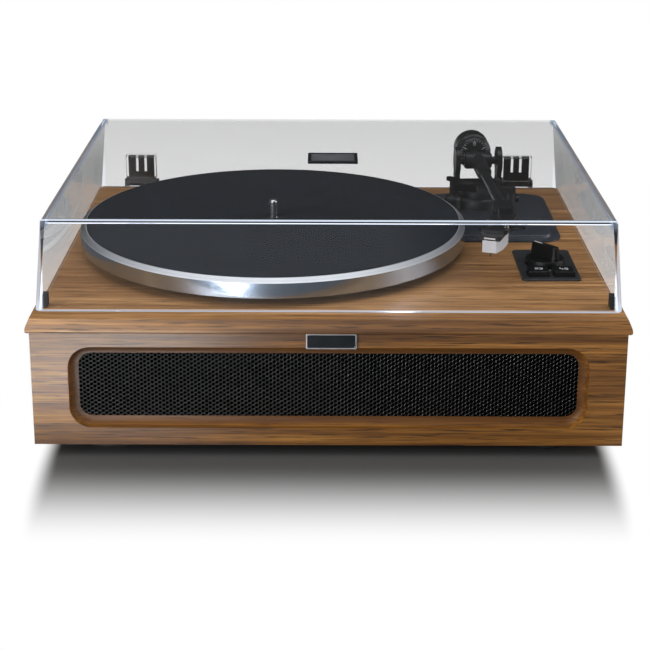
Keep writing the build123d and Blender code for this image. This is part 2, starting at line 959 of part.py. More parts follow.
def arm_plan(height):
    """A level plane on the swing axis at a height above the deck, its first axis along the tube."""
    return Plane(origin=(arm_pivot_x, pivot_y, deck_z + height), x_dir=along, z_dir=UP)


# Deck plate under the tonearm: a low bevelled plateau inside a thin border
plate_left_x = arm_pivot_x - arm_plate_inner
plate_right_x = side_x - arm_plate_side_setback
plate_front_y = pivot_y - arm_plate_front
plate_back_y = back_y - arm_plate_back_setback
plate_width = plate_right_x - plate_left_x
plate_depth = plate_back_y - plate_front_y
plate_place = ((plate_left_x + plate_right_x) / 2, (plate_front_y + plate_back_y) / 2)
plateau_rise = arm_plate_top - arm_plate_base
with BuildPart() as tonearm_plate:
    with BuildSketch(level(deck_z)):
        with Locations(plate_place):
            RectangleRounded(plate_width, plate_depth, arm_plate_corner)
    extrude(amount=arm_plate_base)
    with BuildSketch(level(deck_z + arm_plate_base)):
        with Locations(plate_place):
            RectangleRounded(
                plate_width - 2 * arm_plate_border,
                plate_depth - 2 * arm_plate_border,
                arm_plate_corner - arm_plate_border / 2,
            )
    extrude(amount=plateau_rise, taper=arm_plate_draft)
    fillet(tonearm_plate.faces().sort_by(Axis.Z)[-1].edges(), radius=arm_plate_round)
    with BuildSketch(level(deck_z)):
        with Locations((arm_pivot_x, pivot_y)):
            Circle(tower_stem_radius + stem_hole_fit)
    extrude(amount=arm_plate_top, mode=Mode.SUBTRACT)
keep(tonearm_plate, "tonearm_plate")

# Tower: round base with the swivel bore, the cueing barrel and the lever's boss
tower_top = arm_plate_top + tower_height
neck_top = tower_top + tower_neck
swivel_bore = swivel_radius + running_fit
cue_rod_bore = cue_rod_radius + running_fit
cue_place = (cue_radius * cos(radians(cue_angle)), -cue_radius * sin(radians(cue_angle)))
boss_width = lever_boss_width + lever_boss_root
boss_face_x = arm_pivot_x + tower_radius + lever_boss_width
boss_y = pivot_y - lever_boss_setback
lever_z = plateau_z + lever_pin_rise
lever_section = Plane(origin=(boss_face_x, boss_y, lever_z), x_dir=FORWARD, z_dir=(-1, 0, 0))
with BuildPart() as tonearm_tower:
    with BuildSketch(level(plateau_z)):
        with Locations((arm_pivot_x, pivot_y)):
            Circle(tower_radius)
    extrude(amount=tower_height, taper=tower_draft)
    fillet(tonearm_tower.edges().group_by(Axis.Z)[-1], radius=tower_round)
    with BuildSketch(level(plateau_z)):
        with Locations((boss_face_x - boss_width / 2, boss_y)):
            Rectangle(boss_width, lever_boss_depth)
    extrude(amount=lever_boss_height)
    with BuildSketch(arm_plan(arm_plate_top)):
        with Locations(cue_place):
            Circle(cue_barrel_radius)
    extrude(amount=neck_top - arm_plate_top - swivel_gap)
    fillet(tonearm_tower.edges().group_by(Axis.Z)[-1], radius=cue_barrel_round)
    with BuildSketch(level(deck_z - tower_stem_depth)):
        with Locations((arm_pivot_x, pivot_y)):
            Circle(tower_stem_radius)
    extrude(amount=tower_stem_depth + arm_plate_top)
    with BuildSketch(level(plateau_z)):
        with Locations((arm_pivot_x, pivot_y)):
            Circle(tower_neck_radius)
    extrude(amount=tower_height + tower_neck)
    with BuildSketch(level(deck_z - tower_stem_depth)):
        with Locations((arm_pivot_x, pivot_y)):
            Circle(swivel_bore)
    extrude(amount=tower_stem_depth + neck_top, mode=Mode.SUBTRACT)
    with BuildSketch(arm_plan(neck_top)):
        with Locations(cue_place):
            Circle(cue_rod_bore)
    extrude(amount=-cue_rod_depth - swivel_gap, mode=Mode.SUBTRACT)
    with BuildSketch(lever_section):
        Circle(lever_pin_radius + running_fit)
    extrude(amount=lever_pin_length + lever_blind, mode=Mode.SUBTRACT)
keep(tonearm_tower, "tonearm_tower")

# Yoke: two round cheeks on a base that turns on the swivel shaft
yoke_bottom = neck_top + swivel_gap
yoke_inner = yoke_half_width - yoke_cheek
leg_length = arm_pivot_height - yoke_bottom
pin_bore = pivot_pin_radius + running_fit
pin_hole_depth = pivot_pin_length + pivot_blind
with BuildPart() as arm_yoke:
    with BuildSketch(arm_plan(yoke_bottom)):
        Rectangle(yoke_base_depth, 2 * yoke_half_width)
        Circle(swivel_radius, mode=Mode.SUBTRACT)
    extrude(amount=yoke_base)
    for cheek_plane in (arm_section.offset(-yoke_half_width), arm_section.offset(yoke_inner)):
        with BuildSketch(cheek_plane):
            Circle(yoke_cheek_radius)
            with Locations((0, -leg_length / 2)):
                Rectangle(yoke_leg, leg_length)
        extrude(amount=yoke_cheek)
    with BuildSketch(arm_section):
        Circle(pin_bore)
    extrude(amount=yoke_inner + pin_hole_depth, both=True, mode=Mode.SUBTRACT)
keep(arm_yoke, "arm_yoke")

with BuildPart() as swivel_shaft:
    with BuildSketch(level(deck_z - tower_stem_depth)):
        with Locations((arm_pivot_x, pivot_y)):
            Circle(swivel_radius)
    extrude(amount=tower_stem_depth + yoke_bottom + yoke_base)
keep(swivel_shaft, "swivel_shaft")

# Pivot block: cross barrel with its needle pins, the tube's collar and the counterweight stub
neck_end = yoke_inner - barrel_end_gap
pin_end = yoke_inner + pivot_pin_length
collar_end = collar_length + collar_taper
with BuildPart() as pivot_block:
    with BuildSketch(Plane(origin=pivot, x_dir=along, z_dir=UP)):
        with BuildLine():
            Polyline(
                (0, -pin_end),
                (pivot_pin_radius, -pin_end),
                (pivot_pin_radius, -neck_end),
                (barrel_neck_radius, -neck_end),
                (barrel_neck_radius, -barrel_half_length),
                (barrel_radius - barrel_round, -barrel_half_length),
                (barrel_radius, -barrel_half_length + barrel_round),
                (barrel_radius, barrel_half_length - barrel_round),
                (barrel_radius - barrel_round, barrel_half_length),
                (barrel_neck_radius, barrel_half_length),
                (barrel_neck_radius, neck_end),
                (pivot_pin_radius, neck_end),
                (pivot_pin_radius, pin_end),
                (0, pin_end),
                close=True,
            )
        make_face()
    revolve(axis=cross_axis)
    with BuildSketch(arm_section):
        with BuildLine():
            Polyline(
                (-stub_end, 0),
                (-stub_end, stub_radius),
                (0, stub_radius),
                (0, collar_radius),
                (collar_length, collar_radius),
                (collar_end, collar_nose_radius),
                (collar_end, tube_radius),
                (tube_start, tube_radius),
                (tube_start, 0),
                close=True,
            )
        make_face()
    revolve(axis=arm_axis)
keep(pivot_block, "pivot_block")

# Arm tube: straight aluminium tube from the collar to the headshell
shell_neck_start = shell_bend - shell_neck_length
tube_end = shell_neck_start + shell_neck_grip
with BuildPart() as arm_tube:
    with BuildSketch(arm_section):
        with Locations(((tube_start + tube_end) / 2, tube_radius - tube_wall / 2)):
            Rectangle(tube_end - tube_start, tube_wall)
    revolve(axis=arm_axis)
keep(arm_tube, "arm_tube")

# Counterweight and its force dial: turned rings on the stub
weight_bore = stub_radius + weight_fit
weight_end = weight_start + weight_length
groove_start = weight_start + (weight_length - weight_groove_width) / 2
with BuildPart() as counterweight:
    with BuildSketch(arm_section):
        with BuildLine():
            Polyline(
                (-weight_start, weight_bore),
                (-weight_start, weight_radius - weight_round),
                (-weight_start - weight_round, weight_radius),
                (-groove_start, weight_radius),
                (-groove_start, weight_radius - weight_groove),
                (-groove_start - weight_groove_width, weight_radius - weight_groove),
                (-groove_start - weight_groove_width, weight_radius),
                (-weight_end + weight_round, weight_radius),
                (-weight_end, weight_radius - weight_round),
                (-weight_end, weight_bore),
                close=True,
            )
        make_face()
    revolve(axis=arm_axis)
keep(counterweight, "counterweight")

dial_back = weight_start - dial_gap
dial_front = dial_back - dial_length
with BuildPart() as tracking_dial:
    with BuildSketch(arm_section):
        with BuildLine():
            Polyline(
                (-dial_front, weight_bore),
                (-dial_front, dial_radius - dial_bevel),
                (-dial_front - dial_bevel, dial_radius),
                (-dial_back, dial_radius),
                (-dial_back, weight_bore),
                close=True,
            )
        make_face()
    revolve(axis=arm_axis)
keep(tracking_dial, "tracking_dial")

# Headshell: neck on the tube, then a plate turned inwards by the offset angle, with a finger lift
offset_angle = radians(shell_offset)
shell_along = along * cos(offset_angle) - right * sin(offset_angle)
shell_origin = pivot + along * shell_bend


def shell_plan(rise):
    """A level plane at the bend, a height above the tube's axis, its first axis along the plate."""
    return Plane(origin=shell_origin + Vector(0, 0, rise), x_dir=shell_along, z_dir=UP)


plate_under_z = shell_top - shell_plate
slot_width = 2 * (shell_screw_radius + shell_slot_fit)
screw_places = [(screw_station, side * screw_spacing / 2) for side in (-1, 1)]
with BuildPart() as headshell:
    with BuildSketch(shell_plan(plate_under_z)):
        with BuildLine():
            Polyline(
                (-shell_corner, -shell_back_width / 2),
                (shell_length, -shell_front_width / 2),
                (shell_length, shell_front_width / 2),
                (-shell_corner, shell_back_width / 2),
                close=True,
            )
        make_face()
    extrude(amount=shell_plate)
    fillet(headshell.edges().filter_by(Axis.Z), radius=shell_corner)
    with BuildSketch(Plane(origin=pivot, x_dir=along, z_dir=UP).offset(-shell_neck_height / 2)):
        with Locations((shell_neck_start + shell_neck_length / 2, 0)):
            RectangleRounded(shell_neck_length, shell_neck_width, shell_corner)
    extrude(amount=shell_neck_height)
    with BuildSketch(shell_plan(shell_top - lift_sheet)):
        with Locations((shell_length - lift_setback, shell_front_width / 2)):
            SlotOverall(2 * lift_reach, lift_width, rotation=90)
    extrude(amount=lift_sheet)
    with BuildSketch(shell_plan(plate_under_z)):
        with Locations(*screw_places):
            SlotOverall(shell_slot_length, slot_width)
    extrude(amount=shell_plate, mode=Mode.SUBTRACT)
    with BuildSketch(Plane(origin=pivot + along * shell_neck_start, z_dir=along)):
        Circle(tube_radius)
    extrude(amount=tube_end - shell_neck_start, mode=Mode.SUBTRACT)
keep(headshell, "headshell")

# Cartridge: mounting cap, wedge-nosed body and the removable stylus
cap_under = plate_under_z - cartridge_cap
body_under = cap_under - cartridge_height
cartridge_end = cartridge_start + cartridge_length
nose_start = cartridge_end - cartridge_nose
with BuildPart() as cartridge_cap_block:
    with BuildSketch(shell_plan(cap_under)):
        with Locations((cartridge_start + cartridge_length / 2, 0)):
            RectangleRounded(cartridge_length, cartridge_width, cartridge_round)
        with Locations(*screw_places):
            Circle(shell_screw_radius, mode=Mode.SUBTRACT)
    extrude(amount=cartridge_cap)
keep(cartridge_cap_block, "cartridge_cap")

with BuildPart() as cartridge_body:
    with BuildSketch(shell_plan(body_under)):
        with BuildLine():
            Polyline(
                (cartridge_start, -cartridge_width / 2),
                (nose_start, -cartridge_width / 2),
                (cartridge_end, -cartridge_nose_width / 2),
                (cartridge_end, cartridge_nose_width / 2),
                (nose_start, cartridge_width / 2),
                (cartridge_start, cartridge_width / 2),
                close=True,
            )
        make_face()
    extrude(amount=cartridge_height)
    fillet(cartridge_body.edges().filter_by(Axis.Z), radius=cartridge_round)
keep(cartridge_body, "cartridge_body")

tip_rise = stylus_height - arm_pivot_height
root_station = stylus_grip_start + stylus_grip_length - stylus_grip_height
root = shell_origin + shell_along * root_station + Vector(0, 0, body_under - cantilever_drop)
tip_radius = cantilever_radius * tip_taper
cantilever_end = Vector(0, 0, tip_rise + tip_length) + shell_origin + shell_along * stylus_station
with BuildPart() as stylus:
    with BuildSketch(shell_plan(body_under)):
        with Locations((stylus_grip_start + stylus_grip_length / 2, 0)):
            Rectangle(stylus_grip_length, stylus_grip_width)
    extrude(amount=-stylus_grip_height)
    with BuildSketch(Plane(origin=root, z_dir=cantilever_end - root)):
        Circle(cantilever_radius)
    extrude(amount=(cantilever_end - root).length)
    with BuildSketch(shell_plan(tip_rise + tip_length)):
        with Locations((stylus_station, 0)):
            Circle(cantilever_radius)
    with BuildSketch(shell_plan(tip_rise)):
        with Locations((stylus_station, 0)):
            Circle(tip_radius)
    loft()
keep(stylus, "stylus")

with BuildPart() as headshell_screws:
    with BuildSketch(shell_plan(cap_under)):
        with Locations(*screw_places):
            Circle(shell_screw_radius)
    extrude(amount=shell_top - cap_under)
    with BuildSketch(shell_plan(shell_top)):
        with Locations(*screw_places):
            Circle(shell_screw_head_radius)
    extrude(amount=shell_screw_head)
keep(headshell_screws, "headshell_screws")

# Cueing lift: a curved bar under the tube, on a rod that slides in the tower's barrel
cue_bar_top = arm_pivot_height - collar_radius - cue_clearance - cue_travel
cue_bar_bottom = cue_bar_top - cue_bar_thickness
cue_sweep = cue_sweep_end - cue_sweep_start
with BuildPart() as cue_lift_bar:
    with BuildSketch(arm_plan(cue_bar_bottom)):
        with BuildLine():
            outer = CenterArc((0, 0), cue_radius + cue_bar_width / 2, -cue_sweep_end, cue_sweep)
            inner = CenterArc((0, 0), cue_radius - cue_bar_width / 2, -cue_sweep_end, cue_sweep)
            Line(outer @ 0, inner @ 0)
            Line(outer @ 1, inner @ 1)
        make_face()
    extrude(amount=cue_bar_thickness)
    fillet(cue_lift_bar.edges().filter_by(Axis.Z), radius=cue_bar_corner)
    with BuildSketch(arm_plan(cue_bar_bottom)):
        with Locations(cue_place):
            Circle(cue_rod_radius)
    extrude(amount=-(cue_bar_bottom - neck_top + cue_rod_depth))
keep(cue_lift_bar, "cue_lift_bar")

# Cueing lever: a flat lever on a pin in the tower's boss
lever_tip = (lever_length * cos(radians(lever_tilt)), lever_length * sin(radians(lever_tilt)))
with BuildPart() as cue_lever:
    with BuildSketch(lever_section.offset(-lever_gap)):
        Circle(lever_hub_radius)
        with Locations(lever_tip):
            Circle(lever_tip_radius)
        make_hull()
    extrude(amount=-lever_thickness)
    with BuildSketch(lever_section.offset(-lever_gap)):
        Circle(lever_pin_radius)
    extrude(amount=lever_gap + lever_pin_length)
keep(cue_lever, "cue_lever")

# Arm rest: a post with a shelf under the tube and a stop on its outer side
shelf_top = arm_pivot_height - tube_radius - rest_clearance
shelf_bottom = shelf_top - rest_shelf_thickness
shelf_inner = -tube_radius - rest_shelf_reach
shelf_outer = rest_post_side + rest_post_radius
stop_side = tube_radius + rest_clearance + rest_wall / 2
with BuildPart() as arm_rest:
    with BuildSketch(arm_plan(arm_plate_top)):
        with Locations((rest_station, rest_post_side)):
            Circle(rest_foot_radius)
    extrude(amount=rest_foot_height)
    fillet(arm_rest.edges().group_by(Axis.Z)[-1], radius=rest_edge)
    with BuildSketch(arm_plan(arm_plate_top)):
        with Locations((rest_station, rest_post_side)):
            Circle(rest_post_radius)
    extrude(amount=shelf_bottom - arm_plate_top)
    with BuildSketch(arm_plan(shelf_bottom)):
        with Locations((rest_station, (shelf_inner + shelf_outer) / 2)):
            RectangleRounded(rest_shelf_width, shelf_outer - shelf_inner, rest_edge)
    extrude(amount=rest_shelf_thickness)
    with BuildSketch(arm_plan(shelf_top)):
        with Locations((rest_station, stop_side)):
            RectangleRounded(rest_shelf_width, rest_wall, rest_edge)
    extrude(amount=rest_wall_rise)
keep(arm_rest, "arm_rest")

# Control plate over the well in the deck
knob_y = front_y + knob_setback
key_y = front_y + key_setback
panel_top_z = deck_z + panel_sheet
panel_place = (panel_x, front_y + (panel_front_setback + panel_back_setback) / 2)
key_places = [(key_x - key_pitch / 2, key_y), (key_x + key_pitch / 2, key_y)]
with BuildPart() as control_plate:
    with BuildSketch(level(deck_z)):
        with Locations(panel_place):
            RectangleRounded(panel_span, panel_back_setback - panel_front_setback, panel_corner)
    extrude(amount=panel_sheet)
    fillet(control_plate.faces().sort_by(Axis.Z)[-1].edges(), radius=panel_round)
    with BuildSketch(level(deck_z)):
        with Locations(*key_places):
            Rectangle(key_width + 2 * key_fit, key_depth + 2 * key_fit)
        with Locations((knob_x, knob_y)):
            Circle(selector_bushing + bushing_fit)
    extrude(amount=panel_sheet, mode=Mode.SUBTRACT)
keep(control_plate, "control_plate")

# Switch board under the deck with a push switch below each key, and the rotary selector on it
board_width = well_width + 2 * switch_board_margin
board_depth = well_back_y - well_front_y + 2 * switch_board_margin
with BuildPart() as switch_board:
    with BuildSketch(level(roof_z)):
        with Locations((well_left + well_width / 2, (well_front_y + well_back_y) / 2)):
            Rectangle(board_width, board_depth)
    extrude(amount=-switch_board_sheet)
    with BuildSketch(level(roof_z)):
        with Locations(*key_places):
            Rectangle(switch_size, switch_size)
    extrude(amount=switch_height)
keep(switch_board, "switch_board")

with BuildPart() as selector_switch:
    with BuildSketch(level(roof_z)):
        with Locations((knob_x, knob_y)):
            Rectangle(selector_body, selector_body)
    extrude(amount=selector_body_height)
    with BuildSketch(level(roof_z)):
        with Locations((knob_x, knob_y)):
            Circle(selector_bushing)
    extrude(amount=panel_top_z - roof_z)
    with BuildSketch(level(roof_z + knob_shaft_floor - bushing_fit)):
        with Locations((knob_x, knob_y)):
            Circle(knob_shaft_radius + running_fit)
    extrude(amount=panel_top_z - roof_z, mode=Mode.SUBTRACT)
keep(selector_switch, "selector_switch")

# Selector knob: round skirt with a wing grip across it, moulded on its shaft
skirt_z = panel_top_z + knob_gap
blade_z = skirt_z + knob_skirt
with BuildPart() as selector_knob:
    with BuildSketch(level(skirt_z)):
        with Locations((knob_x, knob_y)):
            Circle(knob_radius)
    extrude(amount=knob_skirt, taper=knob_skirt_draft)
    fillet(selector_knob.edges().group_by(Axis.Z)[-1], radius=knob_edge_round)
    with BuildSketch(level(blade_z - knob_edge_round)):
        with Locations((knob_x, knob_y)):
            SlotOverall(blade_length, blade_width, rotation=blade_angle)
    extrude(amount=blade_rise + knob_edge_round, taper=blade_draft)
    fillet(selector_knob.faces().sort_by(Axis.Z)[-1].edges(), radius=knob_edge_round)
    with BuildSketch(level(roof_z + knob_shaft_floor)):
        with Locations((knob_x, knob_y)):
            Circle(knob_shaft_radius)
    extrude(amount=skirt_z - roof_z - knob_shaft_floor)
keep(selector_knob, "selector_knob")

# Keys: moulded caps with a stem that stops just over its switch
stem_bottom_z = roof_z + switch_height + key_travel + switch_gap
skirt_bottom_z = deck_z - key_skirt
for place, name in zip(key_places, ("left_key", "right_key")):
    with BuildPart() as key:
        with BuildSketch(level(skirt_bottom_z)):
            with Locations(place):
                Rectangle(key_width, key_depth)
        extrude(amount=key_skirt + panel_sheet + key_rise)
        fillet(key.faces().sort_by(Axis.Z)[-1].edges(), radius=key_round)
        with BuildSketch(level(stem_bottom_z)):
            with Locations(place):
                Rectangle(key_stem, key_stem)
        extrude(amount=skirt_bottom_z - stem_bottom_z)
    keep(key, name)

# Dust cover: one clear moulding, drawn in towards the top, with a hinge pocket at each side
cover_width = cabinet_width - 2 * cover_side_setback
cover_depth = cabinet_depth - cover_setback - cover_back_setback
cover_y = front_y + cover_setback + cover_depth / 2
cover_z = deck_z + cover_gap
cover_draft = degrees(atan2(cover_inset, cover_height))
hinge_y = back_y + hinge_axis_back
hinge_z = deck_z + hinge_axis_rise
tongue_width = hinge_width - 2 * (hinge_ear + hinge_side_gap)
cavity_width = tongue_width + 2 * pocket_fit
cavity_back_y = hinge_y + tongue_thickness / 2 + pocket_fit
cavity_front_y = hinge_y - tongue_thickness / 2 - pocket_fit
tongue_top_z = hinge_z + tongue_height
pocket_bottom_z = deck_z + pocket_rise
pocket_height = tongue_top_z + pocket_fit + pocket_wall - pocket_bottom_z
wall_middle_y = back_y - cover_back_setback - cover_wall
pocket_back_y = cavity_back_y + pocket_wall
with BuildPart() as dust_cover:
    with BuildSketch(level(cover_z)):
        with Locations((0, cover_y)):
            RectangleRounded(cover_width, cover_depth, cover_corner)
    extrude(amount=cover_height, taper=cover_draft)
    fillet(dust_cover.faces().sort_by(Axis.Z)[-1].edges(), radius=cover_edge_round)
    with BuildSketch(level(pocket_bottom_z)):
        with Locations(*((x, (wall_middle_y + pocket_back_y) / 2) for x in hinge_sides)):
            Rectangle(cavity_width + 2 * pocket_wall, pocket_back_y - wall_middle_y)
    extrude(amount=pocket_height)
    with BuildSketch(level(cover_z)):
        with Locations((0, cover_y)):
            RectangleRounded(
                cover_width - 2 * cover_wall, cover_depth - 2 * cover_wall, cover_corner - cover_wall
            )
    extrude(amount=cover_height - cover_wall, taper=cover_draft, mode=Mode.SUBTRACT)
    ceiling_z = cover_z + cover_height - cover_wall
    ceiling_edges = dust_cover.edges().filter_by_position(Axis.Z, ceiling_z - near, ceiling_z + near)
    fillet(ceiling_edges, radius=cover_inner_round)
    with BuildSketch(level(pocket_bottom_z)):
        with Locations(*((x, hinge_y) for x in hinge_sides)):
            Rectangle(cavity_width, cavity_back_y - cavity_front_y)
    extrude(amount=tongue_top_z + pocket_fit - pocket_bottom_z, mode=Mode.SUBTRACT)
keep(dust_cover, "dust_cover")

slot_middle = tongue_height - tongue_slot_depth / 2
slot_offsets = (-tongue_slot_pitch / 2, tongue_slot_pitch / 2)


def hinge_line(x):
    """A plane square to the hinge axis at that place, its first axis backwards and its second up."""
    return Plane(origin=(x, hinge_y, hinge_z), x_dir=BACKWARD, z_dir=X_AXIS)


with BuildPart() as hinge_tongues:
    for x in hinge_sides:
        with BuildSketch(upright(x, hinge_y + tongue_thickness / 2, hinge_z)):
            with Locations((0, tongue_height / 2)):
                Rectangle(tongue_width, tongue_height)
            with Locations(*((offset, slot_middle) for offset in slot_offsets)):
                Rectangle(tongue_slot, tongue_slot_depth, mode=Mode.SUBTRACT)
        extrude(amount=tongue_thickness)
        with BuildSketch(hinge_line(x - tongue_width / 2)):
            Circle(tongue_knuckle)
        extrude(amount=tongue_width)
        with BuildSketch(hinge_line(x - tongue_width / 2)):
            Circle(hinge_pin_radius + running_fit)
        extrude(amount=tongue_width, mode=Mode.SUBTRACT)
keep(hinge_tongues, "hinge_tongues")

# Rubber bumpers in the cover's front corners
bumper_top = bumper_gap + bumper_height
bumper_lean = cover_inset * (bumper_top - cover_gap) / cover_height
bumper_x = cover_width / 2 - cover_wall - bumper_lean - bumper_width / 2
bumper_y = front_y + cover_setback + cover_wall + bumper_lean + cover_corner + bumper_depth / 2
with BuildPart() as cover_bumpers:
    with BuildSketch(level(deck_z + bumper_gap)):
        with Locations((-bumper_x, bumper_y), (bumper_x, bumper_y)):
            Rectangle(bumper_width, bumper_depth)
    extrude(amount=bumper_height)
keep(cover_bumpers, "cover_bumpers")

# Hinge brackets screwed to the cabinet's back, each with two ears for its pin
bracket_top_z = deck_z - hinge_side_gap
ear_offsets = (-hinge_width / 2, hinge_width / 2 - hinge_ear)
ear_root = (hinge_plate / 2 - hinge_axis_back, -hinge_axis_rise - hinge_ear_radius)
with BuildPart() as hinge_brackets:
    with BuildSketch(upright(0, back_y, 0)):
        with Locations(*((x, bracket_top_z - hinge_drop / 2) for x in hinge_sides)):
            RectangleRounded(hinge_width, hinge_drop, hinge_plate)
        with Locations(*hinge_screw_places):
            Circle(hinge_screw_radius, mode=Mode.SUBTRACT)
    extrude(amount=-hinge_plate)
    for x in hinge_sides:
        for ear_offset in ear_offsets:
            with BuildSketch(hinge_line(x + ear_offset)):
                Circle(hinge_ear_radius)
                with Locations(ear_root):
                    Rectangle(hinge_plate, hinge_ear_radius)
                make_hull()
                Circle(hinge_pin_radius, mode=Mode.SUBTRACT)
            extrude(amount=hinge_ear)
keep(hinge_brackets, "hinge_brackets")

with BuildPart() as hinge_pins:
    for x in hinge_sides:
        with BuildSketch(hinge_line(x - hinge_width / 2)):
            Circle(hinge_pin_radius)
        extrude(amount=hinge_width)
keep(hinge_pins, "hinge_pins")

with BuildPart() as hinge_screws:
    with BuildSketch(upright(0, back_y + hinge_plate, 0)):
        with Locations(*hinge_screw_places):
            Circle(hinge_screw_head_radius)
    extrude(amount=-hinge_screw_head)
    with BuildSketch(upright(0, back_y + hinge_plate, 0)):
        with Locations(*hinge_screw_places):
            Circle(hinge_screw_radius)
    extrude(amount=hinge_plate + hinge_screw_grip)
keep(hinge_screws, "hinge_screws")

# Amplifier board on standoffs, with a finned heat sink
amp_x = inner_x - amp_side_setback
amp_y = inner_back_y - amp_back_setback - amp_depth / 2
amp_z = inner_floor_z + standoff_height
with BuildPart() as amplifier_board:
    with BuildSketch(level(amp_z)):
        with Locations((amp_x, amp_y)):
            Rectangle(amp_width, amp_depth)
    extrude(amount=amp_sheet)
keep(amplifier_board, "amplifier_board")

with BuildPart() as board_standoffs:
    with BuildSketch(level(inner_floor_z)):
        with Locations((amp_x, amp_y)):
            with GridLocations(amp_width - 2 * standoff_inset, amp_depth - 2 * standoff_inset, 2, 2):
                Circle(standoff_radius)
    extrude(amount=standoff_height)
keep(board_standoffs, "board_standoffs")

with BuildPart() as heat_sink:
    with BuildSketch(level(amp_z + amp_sheet)):
        with Locations((amp_x, amp_y + sink_offset)):
            Rectangle(sink_width, sink_depth)
    extrude(amount=sink_base)
    with BuildSketch(level(amp_z + amp_sheet + sink_base)):
        with Locations((amp_x, amp_y + sink_offset)):
            with GridLocations((sink_width - sink_fin) / (sink_fins - 1), 0, sink_fins, 1):
                Rectangle(sink_fin, sink_depth)
    extrude(amount=sink_height - sink_base)
keep(heat_sink, "heat_sink")

# Rear sockets: line-out barrels on a plate let into the back, and the power inlet
jack_plate_y = back_y - jack_pocket + jack_plate_sheet
jack_places = [(-jack_offset - jack_pitch / 2, 0), (-jack_offset + jack_pitch / 2, 0)]
with BuildPart() as line_sockets:
    with BuildSketch(upright(jack_x, jack_plate_y, jack_z)):
        Rectangle(jack_plate_width - 2 * jack_fit, jack_plate_height - 2 * jack_fit)
        with Locations((inlet_offset, 0)):
            Circle(inlet_radius - inlet_lip, mode=Mode.SUBTRACT)
    extrude(amount=jack_plate_sheet)
    with BuildSketch(upright(jack_x, jack_plate_y, jack_z)):
        with Locations(*jack_places):
            Circle(jack_radius)
    extrude(amount=-jack_length)
    with BuildSketch(upright(jack_x, jack_plate_y - jack_plate_sheet, jack_z)):
        with Locations(*jack_places):
            Rectangle(jack_body, jack_body)
    extrude(amount=jack_body_depth)
    with BuildSketch(upright(jack_x, jack_plate_y + jack_length, jack_z)):
        with Locations(*jack_places):
            Circle(jack_core_radius)
    extrude(amount=jack_length, mode=Mode.SUBTRACT)
keep(line_sockets, "line_sockets")

with BuildPart() as power_inlet:
    with BuildSketch(upright(jack_x + inlet_offset, jack_plate_y, jack_z)):
        Circle(inlet_radius)
    extrude(amount=-inlet_lip)
    with BuildSketch(upright(jack_x + inlet_offset, jack_plate_y, jack_z)):
        Circle(inlet_radius - inlet_lip)
    extrude(amount=inlet_depth + inlet_lip)
    with BuildSketch(upright(jack_x + inlet_offset, jack_plate_y + inlet_lip, jack_z)):
        Circle(inlet_bore)
        Circle(inlet_pin, mode=Mode.SUBTRACT)
    extrude(amount=inlet_depth, mode=Mode.SUBTRACT)
keep(power_inlet, "power_inlet")
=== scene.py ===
import json
import math

import bmesh
import bpy
from mathutils import Matrix, Vector


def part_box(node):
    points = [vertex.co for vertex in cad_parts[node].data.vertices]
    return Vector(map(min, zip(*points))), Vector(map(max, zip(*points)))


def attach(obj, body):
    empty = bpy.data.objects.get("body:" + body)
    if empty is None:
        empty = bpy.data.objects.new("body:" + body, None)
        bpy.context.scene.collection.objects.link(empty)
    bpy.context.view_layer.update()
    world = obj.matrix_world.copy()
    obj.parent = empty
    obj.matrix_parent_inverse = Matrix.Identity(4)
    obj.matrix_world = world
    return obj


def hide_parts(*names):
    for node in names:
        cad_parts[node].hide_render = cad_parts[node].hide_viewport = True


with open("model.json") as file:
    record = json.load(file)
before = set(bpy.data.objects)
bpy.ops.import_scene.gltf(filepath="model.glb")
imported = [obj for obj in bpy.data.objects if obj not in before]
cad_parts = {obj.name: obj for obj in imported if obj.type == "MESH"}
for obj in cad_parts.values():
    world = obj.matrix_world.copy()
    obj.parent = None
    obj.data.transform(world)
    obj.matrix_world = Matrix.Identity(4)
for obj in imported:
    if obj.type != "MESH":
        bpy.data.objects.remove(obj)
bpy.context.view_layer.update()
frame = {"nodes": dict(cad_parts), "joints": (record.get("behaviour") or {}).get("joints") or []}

# Cabinet boards: the top, the front and the two sides are fibreboard faced with sliced walnut.
# The veneer runs along the front, and from front to back on the sides, under a thin satin lacquer.
# The boards are glued together over blocks inside the corners.
MM = 0.001
SOCKETS = {1: "NodeSocketFloat", 3: "NodeSocketVector", 4: "NodeSocketColor"}


def add(tree, kind, inputs=None, **settings):
    """A shader node with its settings; each input is a value or another node's output."""
    node = tree.nodes.new("ShaderNode" + kind)
    for name, value in settings.items():
        setattr(node, name, value)
    for name, value in (inputs or {}).items():
        if isinstance(value, bpy.types.NodeSocket):
            tree.links.new(value, node.inputs[name])
        else:
            node.inputs[name].default_value = value
    return node


def tint(red, green, blue):
    """A colour as seen on a screen, from 0 to 255, as the linear colour a shader takes."""
    seen = (channel / 255 for channel in (red, green, blue))
    linear = (s / 12.92 if s <= 0.04045 else ((s + 0.055) / 1.055) ** 2.4 for s in seen)
    return (*linear, 1.0)


def math_node(tree, operation, first, second=0.0):
    """The result of one sum on two values or outputs."""
    return add(tree, "Math", {0: first, 1: second}, operation=operation).outputs[0]


def times(tree, first, second):
    """Two values multiplied."""
    return math_node(tree, "MULTIPLY", first, second)


def part_of(tree, vector, axis):
    """A vector's share along one axis."""
    return add(tree, "SeparateXYZ", {0: vector}).outputs[axis]


def object_place(tree):
    """Where a point is on the object, in metres."""
    return add(tree, "TexCoord").outputs["Object"]


def noise(tree, place, scale, detail=2.0, distortion=0.0):
    """Cloudy values around one half, at so many lumps to a metre along each axis."""
    scaled = add(tree, "VectorMath", {0: place, 1: scale}, operation="MULTIPLY").outputs[0]
    inputs = {"Vector": scaled, "Scale": 1.0, "Detail": detail, "Distortion": distortion}
    return add(tree, "TexNoise", inputs).outputs["Fac"]


